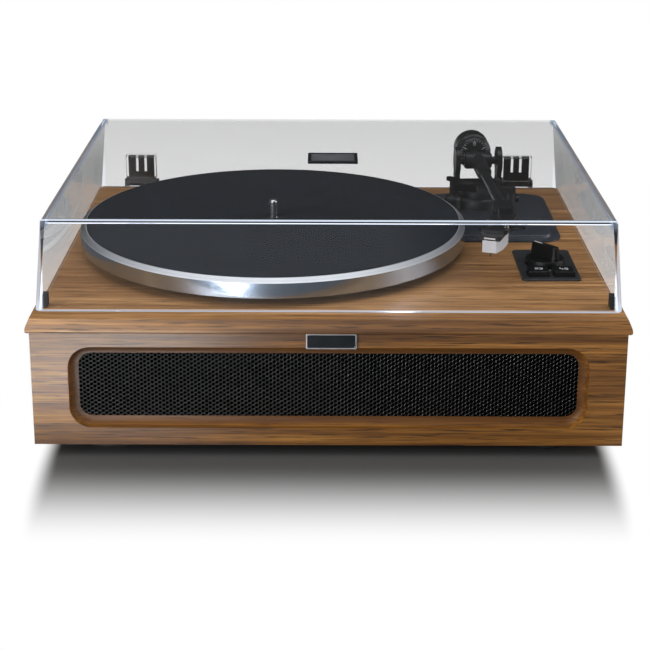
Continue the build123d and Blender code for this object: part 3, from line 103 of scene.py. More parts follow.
def between(tree, value, low, high):
    """A value's share of the way from low to high, kept from 0 to 1."""
    inputs = {"Value": value, "From Min": low, "From Max": high}
    return add(tree, "MapRange", inputs).outputs["Result"]


def blended(tree, share, first, second):
    """Two colours mixed by a share."""
    mix = add(tree, "Mix", {0: share, 6: first, 7: second}, data_type="RGBA")
    return mix.outputs[2]


def uneven(tree, roughness, cloud, swing):
    """A roughness that swings with cloudy values around one half."""
    change = times(tree, math_node(tree, "SUBTRACT", cloud, 0.5), swing)
    return math_node(tree, "ADD", roughness, change)


def start_effect(name, inputs, outputs=("Color", "Roughness", "Height")):
    """A group of shader nodes: its tree, what it is given and what it puts out."""
    tree = bpy.data.node_groups.new(name, "ShaderNodeTree")
    for label, value in inputs.items():
        length = len(value) if isinstance(value, tuple) else 1
        socket = tree.interface.new_socket(label, in_out="INPUT", socket_type=SOCKETS[length])
        socket.default_value = value
    for label in outputs:
        kind = "NodeSocketColor" if label == "Color" else "NodeSocketFloat"
        tree.interface.new_socket(label, in_out="OUTPUT", socket_type=kind)
    given = tree.nodes.new("NodeGroupInput")
    result = tree.nodes.new("NodeGroupOutput")
    return tree, given.outputs, result.inputs


def start_finish(name, **sockets):
    """A new material with plain values on its shader: the material, its tree and the shader."""
    finish = bpy.data.materials.new(name)
    finish.use_nodes = True
    shader = finish.node_tree.nodes["Principled BSDF"]
    for label, value in sockets.items():
        shader.inputs[label.replace("_", " ")].default_value = value
    return finish, finish.node_tree, shader


def lay(tree, shader, effect, relief):
    """Joins an effect's colour, roughness and height to a shader, the height as relief in metres."""
    tree.links.new(effect.outputs["Color"], shader.inputs["Base Color"])
    tree.links.new(effect.outputs["Roughness"], shader.inputs["Roughness"])
    bump = add(tree, "Bump", {"Height": effect.outputs["Height"], "Distance": relief})
    tree.links.new(bump.outputs["Normal"], shader.inputs["Normal"])


def dress(finish, *names):
    """Gives CAD nodes their finish."""
    for name in names:
        slots = frame["nodes"][name].data.materials
        slots.clear()
        slots.append(finish)


FIGURE_SCALE = (2.2, 26.0, 26.0)
STREAK_SCALE = (4.5, 260.0, 260.0)
FIBRE_SCALE = (14.0, 760.0, 760.0)
PORE_SCALE = (36.0, 1150.0, 1150.0)
FIGURE_SHARE = 0.45
DARK_TONE = 0.36
MIDDLE_TONE = 0.5
PALE_TONE = 0.64
FIBRE_RANGE = (0.6, 0.4)
FIBRE_STRENGTH = 0.55
FIBRE_RELIEF = 0.4
PORE_RANGE = (0.55, 0.68)
PORE_STRENGTH = 0.75
PORE_COLOUR = tint(40, 23, 9)
VENEER_SWING = 0.25
VENEER_RELIEF = 0.08 * MM
VENEER_SHINE = 0.2
LACQUER_WEIGHT = 0.6
LACQUER_ROUGHNESS = 0.42
TONE_NAMES = ("Pale", "Middle", "Dark")
front_tones = (tint(175, 120, 48), tint(135, 87, 26), tint(86, 50, 11))
# The top's tones are lighter and greyer than the front's: a painted sheen for the light the deck catches.
top_tones_with_painted_sheen = (tint(192, 147, 98), tint(161, 117, 70), tint(120, 82, 45))
veneer_inputs = {
    "Place": (0.0, 0.0, 0.0),
    **dict(zip(TONE_NAMES, front_tones)),
    "Painted shade": 0.0,
    "Roughness": 0.5,
}
veneer_figure, given, result = start_effect("veneer_figure", veneer_inputs)
tree = veneer_figure
figure = noise(tree, given["Place"], FIGURE_SCALE, detail=3.0, distortion=0.9)
streaks = noise(tree, given["Place"], STREAK_SCALE, detail=5.0, distortion=0.3)
fibres = noise(tree, given["Place"], FIBRE_SCALE, detail=3.0)
pores = between(tree, noise(tree, given["Place"], PORE_SCALE), *PORE_RANGE)
tone = math_node(tree, "ADD", times(tree, figure, FIGURE_SHARE), times(tree, streaks, 1 - FIGURE_SHARE))
wood = blended(tree, between(tree, tone, DARK_TONE, MIDDLE_TONE), given["Dark"], given["Middle"])
wood = blended(tree, between(tree, tone, MIDDLE_TONE, PALE_TONE), wood, given["Pale"])
fibre_share = times(tree, between(tree, fibres, *FIBRE_RANGE), FIBRE_STRENGTH)
wood = blended(tree, fibre_share, wood, given["Dark"])
wood = blended(tree, times(tree, pores, PORE_STRENGTH), wood, PORE_COLOUR)
# Painted shade: this share draws the wood toward its dark tone.
wood = blended(tree, given["Painted shade"], wood, given["Dark"])
tree.links.new(wood, result["Color"])
tree.links.new(uneven(tree, given["Roughness"], streaks, VENEER_SWING), result["Roughness"])
grain_height = math_node(tree, "SUBTRACT", times(tree, fibres, FIBRE_RELIEF), pores)
tree.links.new(grain_height, result["Height"])


def walnut(name, along, tones):
    """Walnut veneer with its grain along the first of three axes, given in the order of use."""
    finish, tree, shader = start_finish(
        name, Coat_Weight=LACQUER_WEIGHT, Coat_Roughness=LACQUER_ROUGHNESS, Specular_IOR_Level=VENEER_SHINE
    )
    place = object_place(tree)
    turned = add(tree, "CombineXYZ", {i: part_of(tree, place, axis) for i, axis in enumerate(along)})
    inputs = {"Place": turned.outputs[0], **dict(zip(TONE_NAMES, tones))}
    lay(tree, shader, add(tree, "Group", inputs, node_tree=veneer_figure), VENEER_RELIEF)
    return finish


walnut_along_front = walnut("walnut_along_front", "XYZ", front_tones)
walnut_along_sides = walnut("walnut_along_sides", "YXZ", front_tones)
walnut_on_top = walnut("walnut_on_top", "XYZ", top_tones_with_painted_sheen)

# Cove and lip: the hollow round the grille slot is painted darker the deeper it goes, as painted shade,
# and has hardly any lacquer. The top board's faces that turn away from up, such as the lip, take the
# front's tones without the top's painted sheen. Both are cut in the boards themselves, so they are
# changes of finish along the same veneer.
COVE_START = 0.6 * MM
COVE_DEPTH = 7.0 * MM
COVE_PAINTED_SHADE = 0.9
COVE_BARE_SHADE = 0.5
COVE_LACQUER = 0.1
OFF_TOP_FACING = (0.95, 0.5)
OFF_TOP_FRONT_SHARE = 0.75
front_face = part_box("front_panel")[0].y


def facing_up(tree):
    """How far a surface faces upward, from -1 to 1."""
    return part_of(tree, add(tree, "TexCoord").outputs["Normal"], "Z")


def effect_in(tree):
    """The group of nodes that a material uses."""
    return next(node for node in tree.nodes if node.bl_idname == "ShaderNodeGroup")


tree = walnut_along_front.node_tree
into_board = part_of(tree, object_place(tree), "Y")
# Painted shade in the cove: darker from its outer edge in to the grille, and the lacquer thins with it.
in_cove = between(tree, into_board, front_face + COVE_START, front_face + COVE_DEPTH)
cove_painted_shade = times(tree, in_cove, COVE_PAINTED_SHADE)
tree.links.new(cove_painted_shade, effect_in(tree).inputs["Painted shade"])
lacquer_ends = {"From Max": COVE_BARE_SHADE, "To Min": LACQUER_WEIGHT, "To Max": COVE_LACQUER}
lacquer = add(tree, "MapRange", {"Value": cove_painted_shade, **lacquer_ends})
tree.links.new(lacquer.outputs["Result"], tree.nodes["Principled BSDF"].inputs["Coat Weight"])
tree = walnut_on_top.node_tree
# Faces of the top board turned away from up, such as the lip, take the front's tones, free of painted sheen.
off_top_share = times(tree, between(tree, facing_up(tree), *OFF_TOP_FACING), OFF_TOP_FRONT_SHARE)
for tone_name, sheened_top_tone, lip_tone in zip(TONE_NAMES, top_tones_with_painted_sheen, front_tones):
    tree.links.new(blended(tree, off_top_share, sheened_top_tone, lip_tone), effect_in(tree).inputs[tone_name])
dress(walnut_along_front, "front_panel")
dress(walnut_on_top, "top_panel")
dress(walnut_along_sides, "left_side_panel", "right_side_panel")

# Back, base and inner boards: plain fibreboard, stained dark where it can be seen.
# The back and the base are screwed on, and the baffle behind the grille is blackened.
# Softwood blocks hold the corners.
BOARD_FIBRE_SCALE = (900.0, 900.0, 900.0)
BOARD_CLOUD_SCALE = (40.0, 40.0, 40.0)
BOARD_CLOUD_SHARE = 0.5
BOARD_FIBRE_RANGE = (0.55, 0.95)
BOARD_SWING = 0.2
board_inputs = {
    "Place": (0.0, 0.0, 0.0),
    "Ground": tint(140, 110, 80),
    "Fibre": tint(170, 140, 100),
    "Roughness": 0.8,
}
board_fibre, given, result = start_effect("board_fibre", board_inputs)
tree = board_fibre
fine = noise(tree, given["Place"], BOARD_FIBRE_SCALE, detail=4.0, distortion=1.2)
cloud = noise(tree, given["Place"], BOARD_CLOUD_SCALE, detail=3.0)
clouded = math_node(tree, "ADD", fine, times(tree, cloud, BOARD_CLOUD_SHARE))
fibre_share = between(tree, clouded, *BOARD_FIBRE_RANGE)
tree.links.new(blended(tree, fibre_share, given["Ground"], given["Fibre"]), result["Color"])
tree.links.new(uneven(tree, given["Roughness"], cloud, BOARD_SWING), result["Roughness"])
tree.links.new(fine, result["Height"])


def fibre_board(name, ground, fibre, roughness, relief, **sockets):
    """A pressed fibre finish in two close colours."""
    finish, tree, shader = start_finish(name, **sockets)
    inputs = {"Place": object_place(tree), "Ground": ground, "Fibre": fibre, "Roughness": roughness}
    lay(tree, shader, add(tree, "Group", inputs, node_tree=board_fibre), relief)
    return finish


stained_board = fibre_board(
    "stained_board", tint(38, 28, 23), tint(58, 44, 35), roughness=0.6, relief=0.05 * MM
)
raw_board = fibre_board(
    "raw_board", tint(168, 138, 100), tint(196, 166, 126), roughness=0.85, relief=0.1 * MM
)
blackened_board = fibre_board(
    "blackened_board", tint(5, 5, 5), tint(8, 8, 8), roughness=0.9, relief=0.1 * MM, Specular_IOR_Level=0.0
)
dress(stained_board, "back_panel", "bottom_panel")
dress(raw_board, "corner_blocks")
dress(blackened_board, "speaker_baffle")

# Feet, bumpers, grommets and belt: moulded black rubber with a dull, slightly bloomed skin.
# The feet are screwed up into the base, the bumpers are stuck in the cover's front corners,
# and the grommets carry the motor.
MOULD_GRAIN_SCALE = (1500.0, 1500.0, 1500.0)
MOULD_CLOUD_SCALE = (55.0, 55.0, 55.0)
MOULD_BLOOM_RANGE = (0.4, 0.75)
mould_inputs = {
    "Place": (0.0, 0.0, 0.0),
    "Ground": tint(20, 20, 21),
    "Bloom": tint(34, 34, 36),
    "Roughness": 0.5,
    "Swing": 0.2,
}
moulded_skin, given, result = start_effect("moulded_skin", mould_inputs)
tree = moulded_skin
grain = noise(tree, given["Place"], MOULD_GRAIN_SCALE, detail=3.0)
cloud = noise(tree, given["Place"], MOULD_CLOUD_SCALE, detail=4.0)
bloom_share = between(tree, cloud, *MOULD_BLOOM_RANGE)
tree.links.new(blended(tree, bloom_share, given["Ground"], given["Bloom"]), result["Color"])
tree.links.new(uneven(tree, given["Roughness"], cloud, given["Swing"]), result["Roughness"])
tree.links.new(grain, result["Height"])


def moulded(name, ground, bloom, roughness, swing=0.15, relief=0.03 * MM, **sockets):
    """A moulded, painted or pressed finish with a fine skin in two close colours."""
    finish, tree, shader = start_finish(name, **sockets)
    inputs = {"Place": object_place(tree), "Ground": ground, "Bloom": bloom}
    inputs.update({"Roughness": roughness, "Swing": swing})
    lay(tree, shader, add(tree, "Group", inputs, node_tree=moulded_skin), relief)
    return finish


foot_rubber = moulded(
    "foot_rubber", tint(17, 17, 18), tint(32, 32, 33), roughness=0.75, swing=0.2, relief=0.05 * MM
)
belt_rubber = moulded("belt_rubber", tint(26, 24, 22), tint(38, 36, 33), roughness=0.7, swing=0.1)
dress(foot_rubber, "feet", "motor_grommets", "cover_bumpers")
dress(belt_rubber, "drive_belt")

# Speaker grille: a steel tray punched with staggered round holes and baked black.
# Its face lies at the bottom of the cove, and its folded edge sits in a rebate behind the front.
GRILLE_COLUMN = 2.5 * MM
GRILLE_ROW = 3.1 * MM
GRILLE_HOLE = 1.08 * MM
GRILLE_SHEET = 0.9 * MM
GRILLE_HOLE_SINK = 0.25 * MM
GRILLE_PLAIN_EDGE = 1.6 * MM
GRILLE_CORNER = 13.0 * MM
GRILLE_FOLD = 1.0 * MM
GRILLE_RIM = 4.0 * MM
GRILLE_RIM_SINK = 0.1 * MM
GRILLE_WELD = 0.01 * MM
tray_low, tray_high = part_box("speaker_grille")
tray_middle = (tray_low + tray_high) / 2
tray_depth = tray_high.y - tray_low.y
tray_half_width = (tray_high.x - tray_low.x) / 2
tray_half_height = (tray_high.z - tray_low.z) / 2
field_half_width = tray_half_width - GRILLE_PLAIN_EDGE
field_half_height = tray_half_height - GRILLE_PLAIN_EDGE


def new_object(name, mesh, finish):
    """A new object from a mesh, in its finish."""
    data = bpy.data.meshes.new(name)
    mesh.to_mesh(data)
    mesh.free()
    data.materials.append(finish)
    thing = bpy.data.objects.new(name, data)
    bpy.context.scene.collection.objects.link(thing)
    return thing


def finish_piece(name, mesh, finish, body):
    """A new piece from a mesh, in its finish, moving with a body."""
    piece = new_object(name, mesh, finish)
    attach(piece, body)
    return piece


def in_field(x, z):
    """True if a hole at this place is inside the tray's rounded outline."""
    over_x = max(abs(x) - (field_half_width - GRILLE_CORNER), 0.0)
    over_z = max(abs(z) - (field_half_height - GRILLE_CORNER), 0.0)
    return math.hypot(over_x, over_z) + GRILLE_COLUMN / 2 < GRILLE_CORNER


def on_tray(across, up, sink):
    """A point on the tray's face, or sunk behind it."""
    return (tray_middle.x + across, tray_low.y + sink, tray_middle.z + up)


def rounded_outline(half_width, half_height, corner, steps=6):
    """Points around a rectangle with round corners, in order."""
    points = []
    for turn, (side, rise) in enumerate(((1, 1), (-1, 1), (-1, -1), (1, -1))):
        for step in range(steps + 1):
            angle = math.pi / 2 * (turn + step / steps)
            points.append((
                side * (half_width - corner) + corner * math.cos(angle),
                rise * (half_height - corner) + corner * math.sin(angle),
            ))
    return points


def skin(mesh, rings, ends=False):
    """Faces between rings of points in order, and over the first and last ring where asked."""
    made = [[mesh.verts.new(point) for point in ring] for ring in rings]
    for first, second in zip(made, made[1:]):
        for i in range(len(first)):
            j = (i + 1) % len(first)
            mesh.faces.new((first[i], first[j], second[j], second[i]))
    if ends:
        mesh.faces.new(list(reversed(made[0])))
        mesh.faces.new(made[-1])


cell_reach = (GRILLE_COLUMN**2 + (GRILLE_ROW / 2) ** 2) / 2 / GRILLE_COLUMN
cell_shoulder = cell_reach - (GRILLE_ROW / 2) ** 2 / GRILLE_COLUMN
cell_quarter = [
    (cell_reach, 0.0),
    ((cell_reach + cell_shoulder) / 2, GRILLE_ROW / 4),
    (cell_shoulder, GRILLE_ROW / 2),
    (0.0, GRILLE_ROW / 2),
]
cell_half = cell_quarter + [(-x, z) for x, z in reversed(cell_quarter[:-1])]
cell_outline = cell_half + [(x, -z) for x, z in reversed(cell_half[1:-1])]
hole_outline = [
    (x * GRILLE_HOLE / math.hypot(x, z), z * GRILLE_HOLE / math.hypot(x, z)) for x, z in cell_outline
]
grille_mesh = bmesh.new()
columns = int(field_half_width / GRILLE_COLUMN)
rows = int(field_half_height / GRILLE_ROW) + 1
for column in range(-columns, columns + 1):
    for row in range(-rows, rows + 1):
        x = column * GRILLE_COLUMN
        z = (row + (column % 2) / 2) * GRILLE_ROW
        if in_field(x, z):
            cell = [on_tray(x + u, z + w, 0.0) for u, w in cell_outline]
            hole = [on_tray(x + u, z + w, GRILLE_HOLE_SINK) for u, w in hole_outline]
            skin(grille_mesh, (cell, hole))
bmesh.ops.remove_doubles(grille_mesh, verts=grille_mesh.verts[:], dist=GRILLE_WELD)
bmesh.ops.solidify(grille_mesh, geom=grille_mesh.faces[:], thickness=GRILLE_SHEET)
rim_rings = []
for inset, sink in (
    (GRILLE_RIM, GRILLE_RIM_SINK),
    (GRILLE_FOLD / 2, GRILLE_RIM_SINK),
    (0.0, GRILLE_FOLD / 2),
    (0.0, tray_depth),
    (GRILLE_FOLD, tray_depth),
    (GRILLE_FOLD, GRILLE_FOLD),
    (GRILLE_RIM, GRILLE_FOLD),
):
    outline = rounded_outline(tray_half_width - inset, tray_half_height - inset, GRILLE_CORNER)
    rim_rings.append([on_tray(across, up, sink) for across, up in outline])
rim_rings.append(rim_rings[0])
skin(grille_mesh, rim_rings)
black_enamel_and_shade = moulded(
    "black_enamel_and_shade", tint(3, 4, 5), tint(6, 7, 9), roughness=0.36, relief=0.02 * MM, Specular_IOR_Level=0.3
)
perforated_grille = finish_piece("perforated_grille", grille_mesh, black_enamel_and_shade, "cabinet")
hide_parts("speaker_grille")

# Drivers behind the grille: two pressed-paper woofers in black steel baskets and two tweeters.
# They are screwed to the baffle, so only a shadow of them shows through the holes.
cone_paper = fibre_board(
    "cone_paper", tint(5, 5, 5), tint(8, 8, 8), roughness=0.95, relief=0.15 * MM, Specular_IOR_Level=0.0
)
ferrite = moulded("ferrite", tint(46, 46, 47), tint(62, 62, 63), roughness=0.6, swing=0.2, relief=0.05 * MM)
dress(black_enamel_and_shade, "woofer_baskets")
dress(cone_paper, "woofer_cones", "tweeters")
dress(ferrite, "woofer_magnets")

# Front plate: a small pressed plate, black with a bright raised border.
# It is stuck to the middle of the front board, just under the lip.
PLATE_CORNER = 1.0 * MM
PLATE_CHAMFER = 0.3 * MM
PLATE_SLOPE = 0.2 * MM
PLATE_SUNK = 0.35 * MM
FRONT_PLATE_HALF_WIDTH = 17.5 * MM
FRONT_PLATE_HALF_HEIGHT = 5.7 * MM
FRONT_PLATE_BORDER = 0.9 * MM
FRONT_PLATE_THICKNESS = 1.2 * MM
FRONT_PLATE_X = 2.0 * MM
FRONT_PLATE_RISE = 77.6 * MM
front_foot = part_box("front_panel")[0].z


def bordered_plate(place, half_width, half_height, thickness, edge):
    """A plate's border and face as two meshes; place turns (across, up, out) into a point."""
    border = bmesh.new()
    rings = []
    for inset, out in (
        (0.0, 0.0),
        (0.0, thickness - PLATE_CHAMFER),
        (PLATE_CHAMFER, thickness),
        (edge, thickness),
        (edge + PLATE_SLOPE, thickness - PLATE_SUNK),
    ):
        outline = rounded_outline(half_width - inset, half_height - inset, PLATE_CORNER)
        rings.append([place(across, up, out) for across, up in outline])
    skin(border, rings)
    face = bmesh.new()
    face.faces.new([face.verts.new(point) for point in rings[-1]])
    return border, face


def on_front(across, up, out):
    """A point over the front board."""
    return (FRONT_PLATE_X + across, front_face - out, front_foot + FRONT_PLATE_RISE + up)


bright_edge = moulded(
    "bright_edge",
    tint(172, 173, 176),
    tint(188, 189, 192),
    roughness=0.46,
    swing=0.2,
    relief=0.02 * MM,
    Metallic=1.0,
)
plate_black = moulded(
    "plate_black",
    tint(26, 30, 34),
    tint(33, 38, 43),
    roughness=0.4,
    relief=0.01 * MM,
    Specular_IOR_Level=0.15,
)
border, face = bordered_plate(
    on_front, FRONT_PLATE_HALF_WIDTH, FRONT_PLATE_HALF_HEIGHT, FRONT_PLATE_THICKNESS, FRONT_PLATE_BORDER
)
finish_piece("front_plate_border", border, bright_edge, "cabinet")
finish_piece("front_plate_face", face, plate_black, "cabinet")

# Platter: an aluminium casting turned all over, with a bevelled rim and a recess for the mat.
# It drops over the spindle and is driven by the belt on a ring underneath. Its side is polished
# smoother than the top, and its colour is darker and bluer than the bevel's as a painted cool reflection.
TURNING_LINES = 2600.0
TURNING_DETAIL = 3.0
TURNING_SMEAR_SCALE = (30.0, 30.0, 30.0)
TURNING_SWING = 0.12
# Painted reflection: the side's colours are darker and bluer than the bevel's, for the cool light it
# reflects.
SIDE_COOL_REFLECTION_GROUND = tint(166, 182, 203)
SIDE_COOL_REFLECTION_BRIGHT = tint(190, 206, 226)
SIDE_ROUGHNESS = 0.16
BEVEL_GROUND = tint(186, 189, 194)
BEVEL_BRIGHT = tint(210, 213, 218)
BEVEL_FACING = (0.3, 0.55)
TOP_ROUGHNESS = 0.5
TOP_FACING = (0.6, 0.9)
joints = {joint["name"]: joint for joint in frame["joints"]}
platter_axis = Vector(joints["platter_spin"]["pos_m"])
turning_inputs = {
    "Across": 0.0,
    "Around": (0.0, 0.0, 0.0),
    "Ground": tint(190, 192, 196),
    "Bright": tint(222, 223, 226),
    "Roughness": 0.25,
}
turned_lines, given, result = start_effect("turned_lines", turning_inputs)
tree = turned_lines
line_inputs = {"W": given["Across"], "Scale": TURNING_LINES, "Detail": TURNING_DETAIL}
lines = add(tree, "TexNoise", line_inputs, noise_dimensions="1D").outputs["Fac"]
smear = noise(tree, given["Around"], TURNING_SMEAR_SCALE, detail=3.0)
tree.links.new(blended(tree, lines, given["Ground"], given["Bright"]), result["Color"])
tree.links.new(uneven(tree, given["Roughness"], smear, TURNING_SWING), result["Roughness"])
tree.links.new(lines, result["Height"])


def turned_metal(name, ground, bright, roughness, relief=0.01 * MM, **sockets):
    """Bare metal turned about the platter's axis: rings on flat faces, bands on round ones."""
    finish, tree, shader = start_finish(name, Metallic=1.0, **sockets)
    place = object_place(tree)
    offset = add(tree, "VectorMath", {0: place, 1: platter_axis}, operation="SUBTRACT")
    flat = add(tree, "VectorMath", {0: offset.outputs[0], 1: (1.0, 1.0, 0.0)}, operation="MULTIPLY")
    reach = add(tree, "VectorMath", {0: flat.outputs[0]}, operation="LENGTH").outputs["Value"]
    across = math_node(tree, "ADD", reach, part_of(tree, place, "Z"))
    inputs = {"Across": across, "Around": place, "Ground": ground, "Bright": bright, "Roughness": roughness}
    lay(tree, shader, add(tree, "Group", inputs, node_tree=turned_lines), relief)
    return finish


platter_aluminium = turned_metal(
    "platter_aluminium", SIDE_COOL_REFLECTION_GROUND, SIDE_COOL_REFLECTION_BRIGHT, SIDE_ROUGHNESS, relief=0.006 * MM, Anisotropic=0.8
)
tree = platter_aluminium.node_tree
turning = effect_in(tree)
upward = facing_up(tree)
on_bevel = between(tree, upward, *BEVEL_FACING)
tree.links.new(blended(tree, on_bevel, SIDE_COOL_REFLECTION_GROUND, BEVEL_GROUND), turning.inputs["Ground"])
tree.links.new(blended(tree, on_bevel, SIDE_COOL_REFLECTION_BRIGHT, BEVEL_BRIGHT), turning.inputs["Bright"])
roughness_ends = {"To Min": SIDE_ROUGHNESS, "To Max": TOP_ROUGHNESS}
roughness_inputs = {"Value": upward, "From Min": TOP_FACING[0], "From Max": TOP_FACING[1], **roughness_ends}
tree.links.new(add(tree, "MapRange", roughness_inputs).outputs["Result"], turning.inputs["Roughness"])
lathe = add(tree, "Tangent", direction_type="RADIAL", axis="Z")
tree.links.new(lathe.outputs[0], tree.nodes["Principled BSDF"].inputs["Tangent"])
ground_steel = turned_metal(
    "ground_steel", tint(200, 201, 204), tint(222, 222, 225), roughness=0.26, relief=0.004 * MM
)
bearing_metal = turned_metal(
    "bearing_metal", tint(120, 121, 122), tint(146, 147, 148), roughness=0.4, relief=0.02 * MM
)
bronze = turned_metal("bronze", tint(178, 132, 72), tint(206, 160, 96), roughness=0.3)
dress(platter_aluminium, "platter")
dress(ground_steel, "spindle", "swivel_shaft")
dress(bearing_metal, "bearing_housing")
dress(bronze, "bearing_bush", "motor_pulley")

# Mat: a disc of pressed black felt, cut with a die and laid loose on the platter.
# Its nap makes the edge soft and the top slightly uneven.
MAT_SEGMENTS = 180
MAT_RINGS = 26
MAT_EDGE = 0.7 * MM
MAT_EDGE_STEPS = 4
MAT_HOLE_FIT = 0.3 * MM
MAT_NAP = 0.05 * MM
MAT_NAP_WAVES = ((310.0, 3, 0.0), (170.0, -5, 1.0))
MAT_WELD = 0.001 * MM
mat_low, mat_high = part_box("platter_mat")
mat_radius = (mat_high.x - mat_low.x) / 2
mat_thickness = mat_high.z - mat_low.z
spindle_low, spindle_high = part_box("spindle")
mat_hole = (spindle_high.x - spindle_low.x) / 2 + MAT_HOLE_FIT


def mat_point(radius, rise, turn):
    """A point of the mat, its top lifted a little here and there by the nap."""
    angle = math.tau * turn / MAT_SEGMENTS
    lift = sum(math.sin(radius * out + around * angle + start) for out, around, start in MAT_NAP_WAVES)
    rise = rise - MAT_NAP * (1 + lift / 2) if rise > mat_thickness / 2 else rise
    return (
        platter_axis.x + radius * math.cos(angle),
        platter_axis.y + radius * math.sin(angle),
        mat_low.z + rise,
    )


mat_profile = [
    (mat_hole, 0.0),
    (mat_hole, mat_thickness - MAT_EDGE / 2),
    (mat_hole + MAT_EDGE / 2, mat_thickness),
]
for ring in range(1, MAT_RINGS):
    share = ring / MAT_RINGS
    mat_profile.append((mat_hole + share * (mat_radius - mat_hole), mat_thickness))
for step in range(MAT_EDGE_STEPS + 1):
    angle = math.pi / 2 * step / MAT_EDGE_STEPS
    mat_profile.append((
        mat_radius - MAT_EDGE + MAT_EDGE * math.sin(angle),
        mat_thickness - MAT_EDGE + MAT_EDGE * math.cos(angle),
    ))
mat_profile.append((mat_radius, 0.0))
mat_mesh = bmesh.new()
mat_rings = [[mat_point(radius, rise, turn) for turn in range(MAT_SEGMENTS)] for radius, rise in mat_profile]
mat_rings.append(mat_rings[0])
skin(mat_mesh, mat_rings)
bmesh.ops.remove_doubles(mat_mesh, verts=mat_mesh.verts[:], dist=MAT_WELD)
bmesh.ops.recalc_face_normals(mat_mesh, faces=mat_mesh.faces[:])
for face in mat_mesh.faces:
    face.smooth = True
mat_felt = fibre_board(
    "mat_felt",
    tint(6, 10, 15),
    tint(20, 29, 40),
    roughness=0.92,
    relief=0.25 * MM,
    Sheen_Weight=0.03,
    Sheen_Roughness=0.5,
    Specular_IOR_Level=0.08,
)
felt_mat = finish_piece("felt_mat", mat_mesh, mat_felt, "platter")
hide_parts("platter_mat")

# Motor under the deck: a plated steel can hung from a zinc-plated plate on three screws.
# The same zinc-plated steel makes the screws under the feet.
zinc_plate = turned_metal("zinc_plate", tint(182, 182, 178), tint(206, 206, 202), roughness=0.32)
motor_can = turned_metal("motor_can", tint(150, 150, 146), tint(172, 172, 168), roughness=0.38)
dress(zinc_plate, "foot_screws", "motor_plate", "motor_screws")
dress(motor_can, "motor_body")

# Tonearm plate, tower and arm rest: black plastic mouldings with a fine satin skin.
# The plate is screwed through the deck, and the tower and the rest are clipped to it.
# The thrust pad under the spindle is moulded from the same plastic.
satin_black = moulded("satin_black", tint(28, 31, 35), tint(36, 40, 44), roughness=0.42)
smooth_black = moulded(
    "smooth_black", tint(15, 15, 17), tint(22, 22, 24), roughness=0.26, swing=0.12, relief=0.01 * MM
)
plate_satin = moulded("plate_satin", tint(42, 46, 53), tint(52, 57, 64), roughness=0.42)
dress(plate_satin, "tonearm_plate")
dress(satin_black, "tonearm_tower", "arm_rest", "thrust_pad")
dress(smooth_black, "cue_lever", "cue_lift_bar", "arm_yoke")

# Tonearm: a straight aluminium tube, its pivot block and its headshell, painted satin black.
# The counterweight is a turned ring, and the cartridge is a pale moulding under a black cap.
arm_paint = moulded(
    "arm_paint",
    tint(30, 31, 33),
    tint(40, 41, 44),
    roughness=0.3,
    swing=0.12,
    relief=0.01 * MM,
    Metallic=0.35,
)
weight_paint = moulded(
    "weight_paint", tint(22, 23, 25), tint(32, 33, 35), roughness=0.36, swing=0.12, relief=0.02 * MM
)
cartridge_pale = moulded(
    "cartridge_pale", tint(188, 189, 193), tint(200, 201, 205), roughness=0.35, swing=0.1, relief=0.01 * MM
)
stylus_grey = moulded(
    "stylus_grey", tint(70, 71, 74), tint(84, 85, 88), roughness=0.35, swing=0.1, relief=0.01 * MM
)
screw_bright = turned_metal(
    "screw_bright", tint(206, 206, 206), tint(224, 224, 224), roughness=0.3, relief=0.004 * MM
)
dress(arm_paint, "arm_tube", "headshell", "pivot_block")
dress(weight_paint, "counterweight", "tracking_dial")
dress(cartridge_pale, "cartridge_body")
dress(screw_bright, "headshell_screws")
dress(smooth_black, "cartridge_cap")
dress(stylus_grey, "stylus")

# Cartridge clip: a bright pressed strip across the front of the cap.
# It is folded from thin plated sheet and snapped over the cartridge's front edge.
UP = Vector((0.0, 0.0, 1.0))
FLUSH = 0.01 * MM
CLIP_HALF_WIDTH = 4.2 * MM
CLIP_HALF_HEIGHT = 0.6 * MM
CLIP_THICKNESS = 0.3 * MM
cap_data = frame["nodes"]["cartridge_cap"].data
cap_front = max(cap_data.polygons, key=lambda side: -side.normal.y * side.area)
cap_out = cap_front.normal.copy()
cap_across = UP.cross(cap_out).normalized()
cap_up = cap_out.cross(cap_across)
cap_reach = cap_front.center.dot(cap_out)
cap_corners = [v.co for v in cap_data.vertices if abs(v.co.dot(cap_out) - cap_reach) < FLUSH]
cap_middle = sum(cap_corners, Vector()) / len(cap_corners)
clip_mesh = bmesh.new()
clip_rings = []
for inset, out in ((0.0, 0.0), (0.0, CLIP_THICKNESS / 2), (CLIP_THICKNESS / 2, CLIP_THICKNESS)):
    outline = rounded_outline(CLIP_HALF_WIDTH - inset, CLIP_HALF_HEIGHT - inset, CLIP_HALF_HEIGHT / 2)
    clip_rings.append([cap_middle + cap_across * u + cap_up * w + cap_out * out for u, w in outline])
skin(clip_mesh, clip_rings, ends=True)
finish_piece("cartridge_clip", clip_mesh, screw_bright, "tonearm")

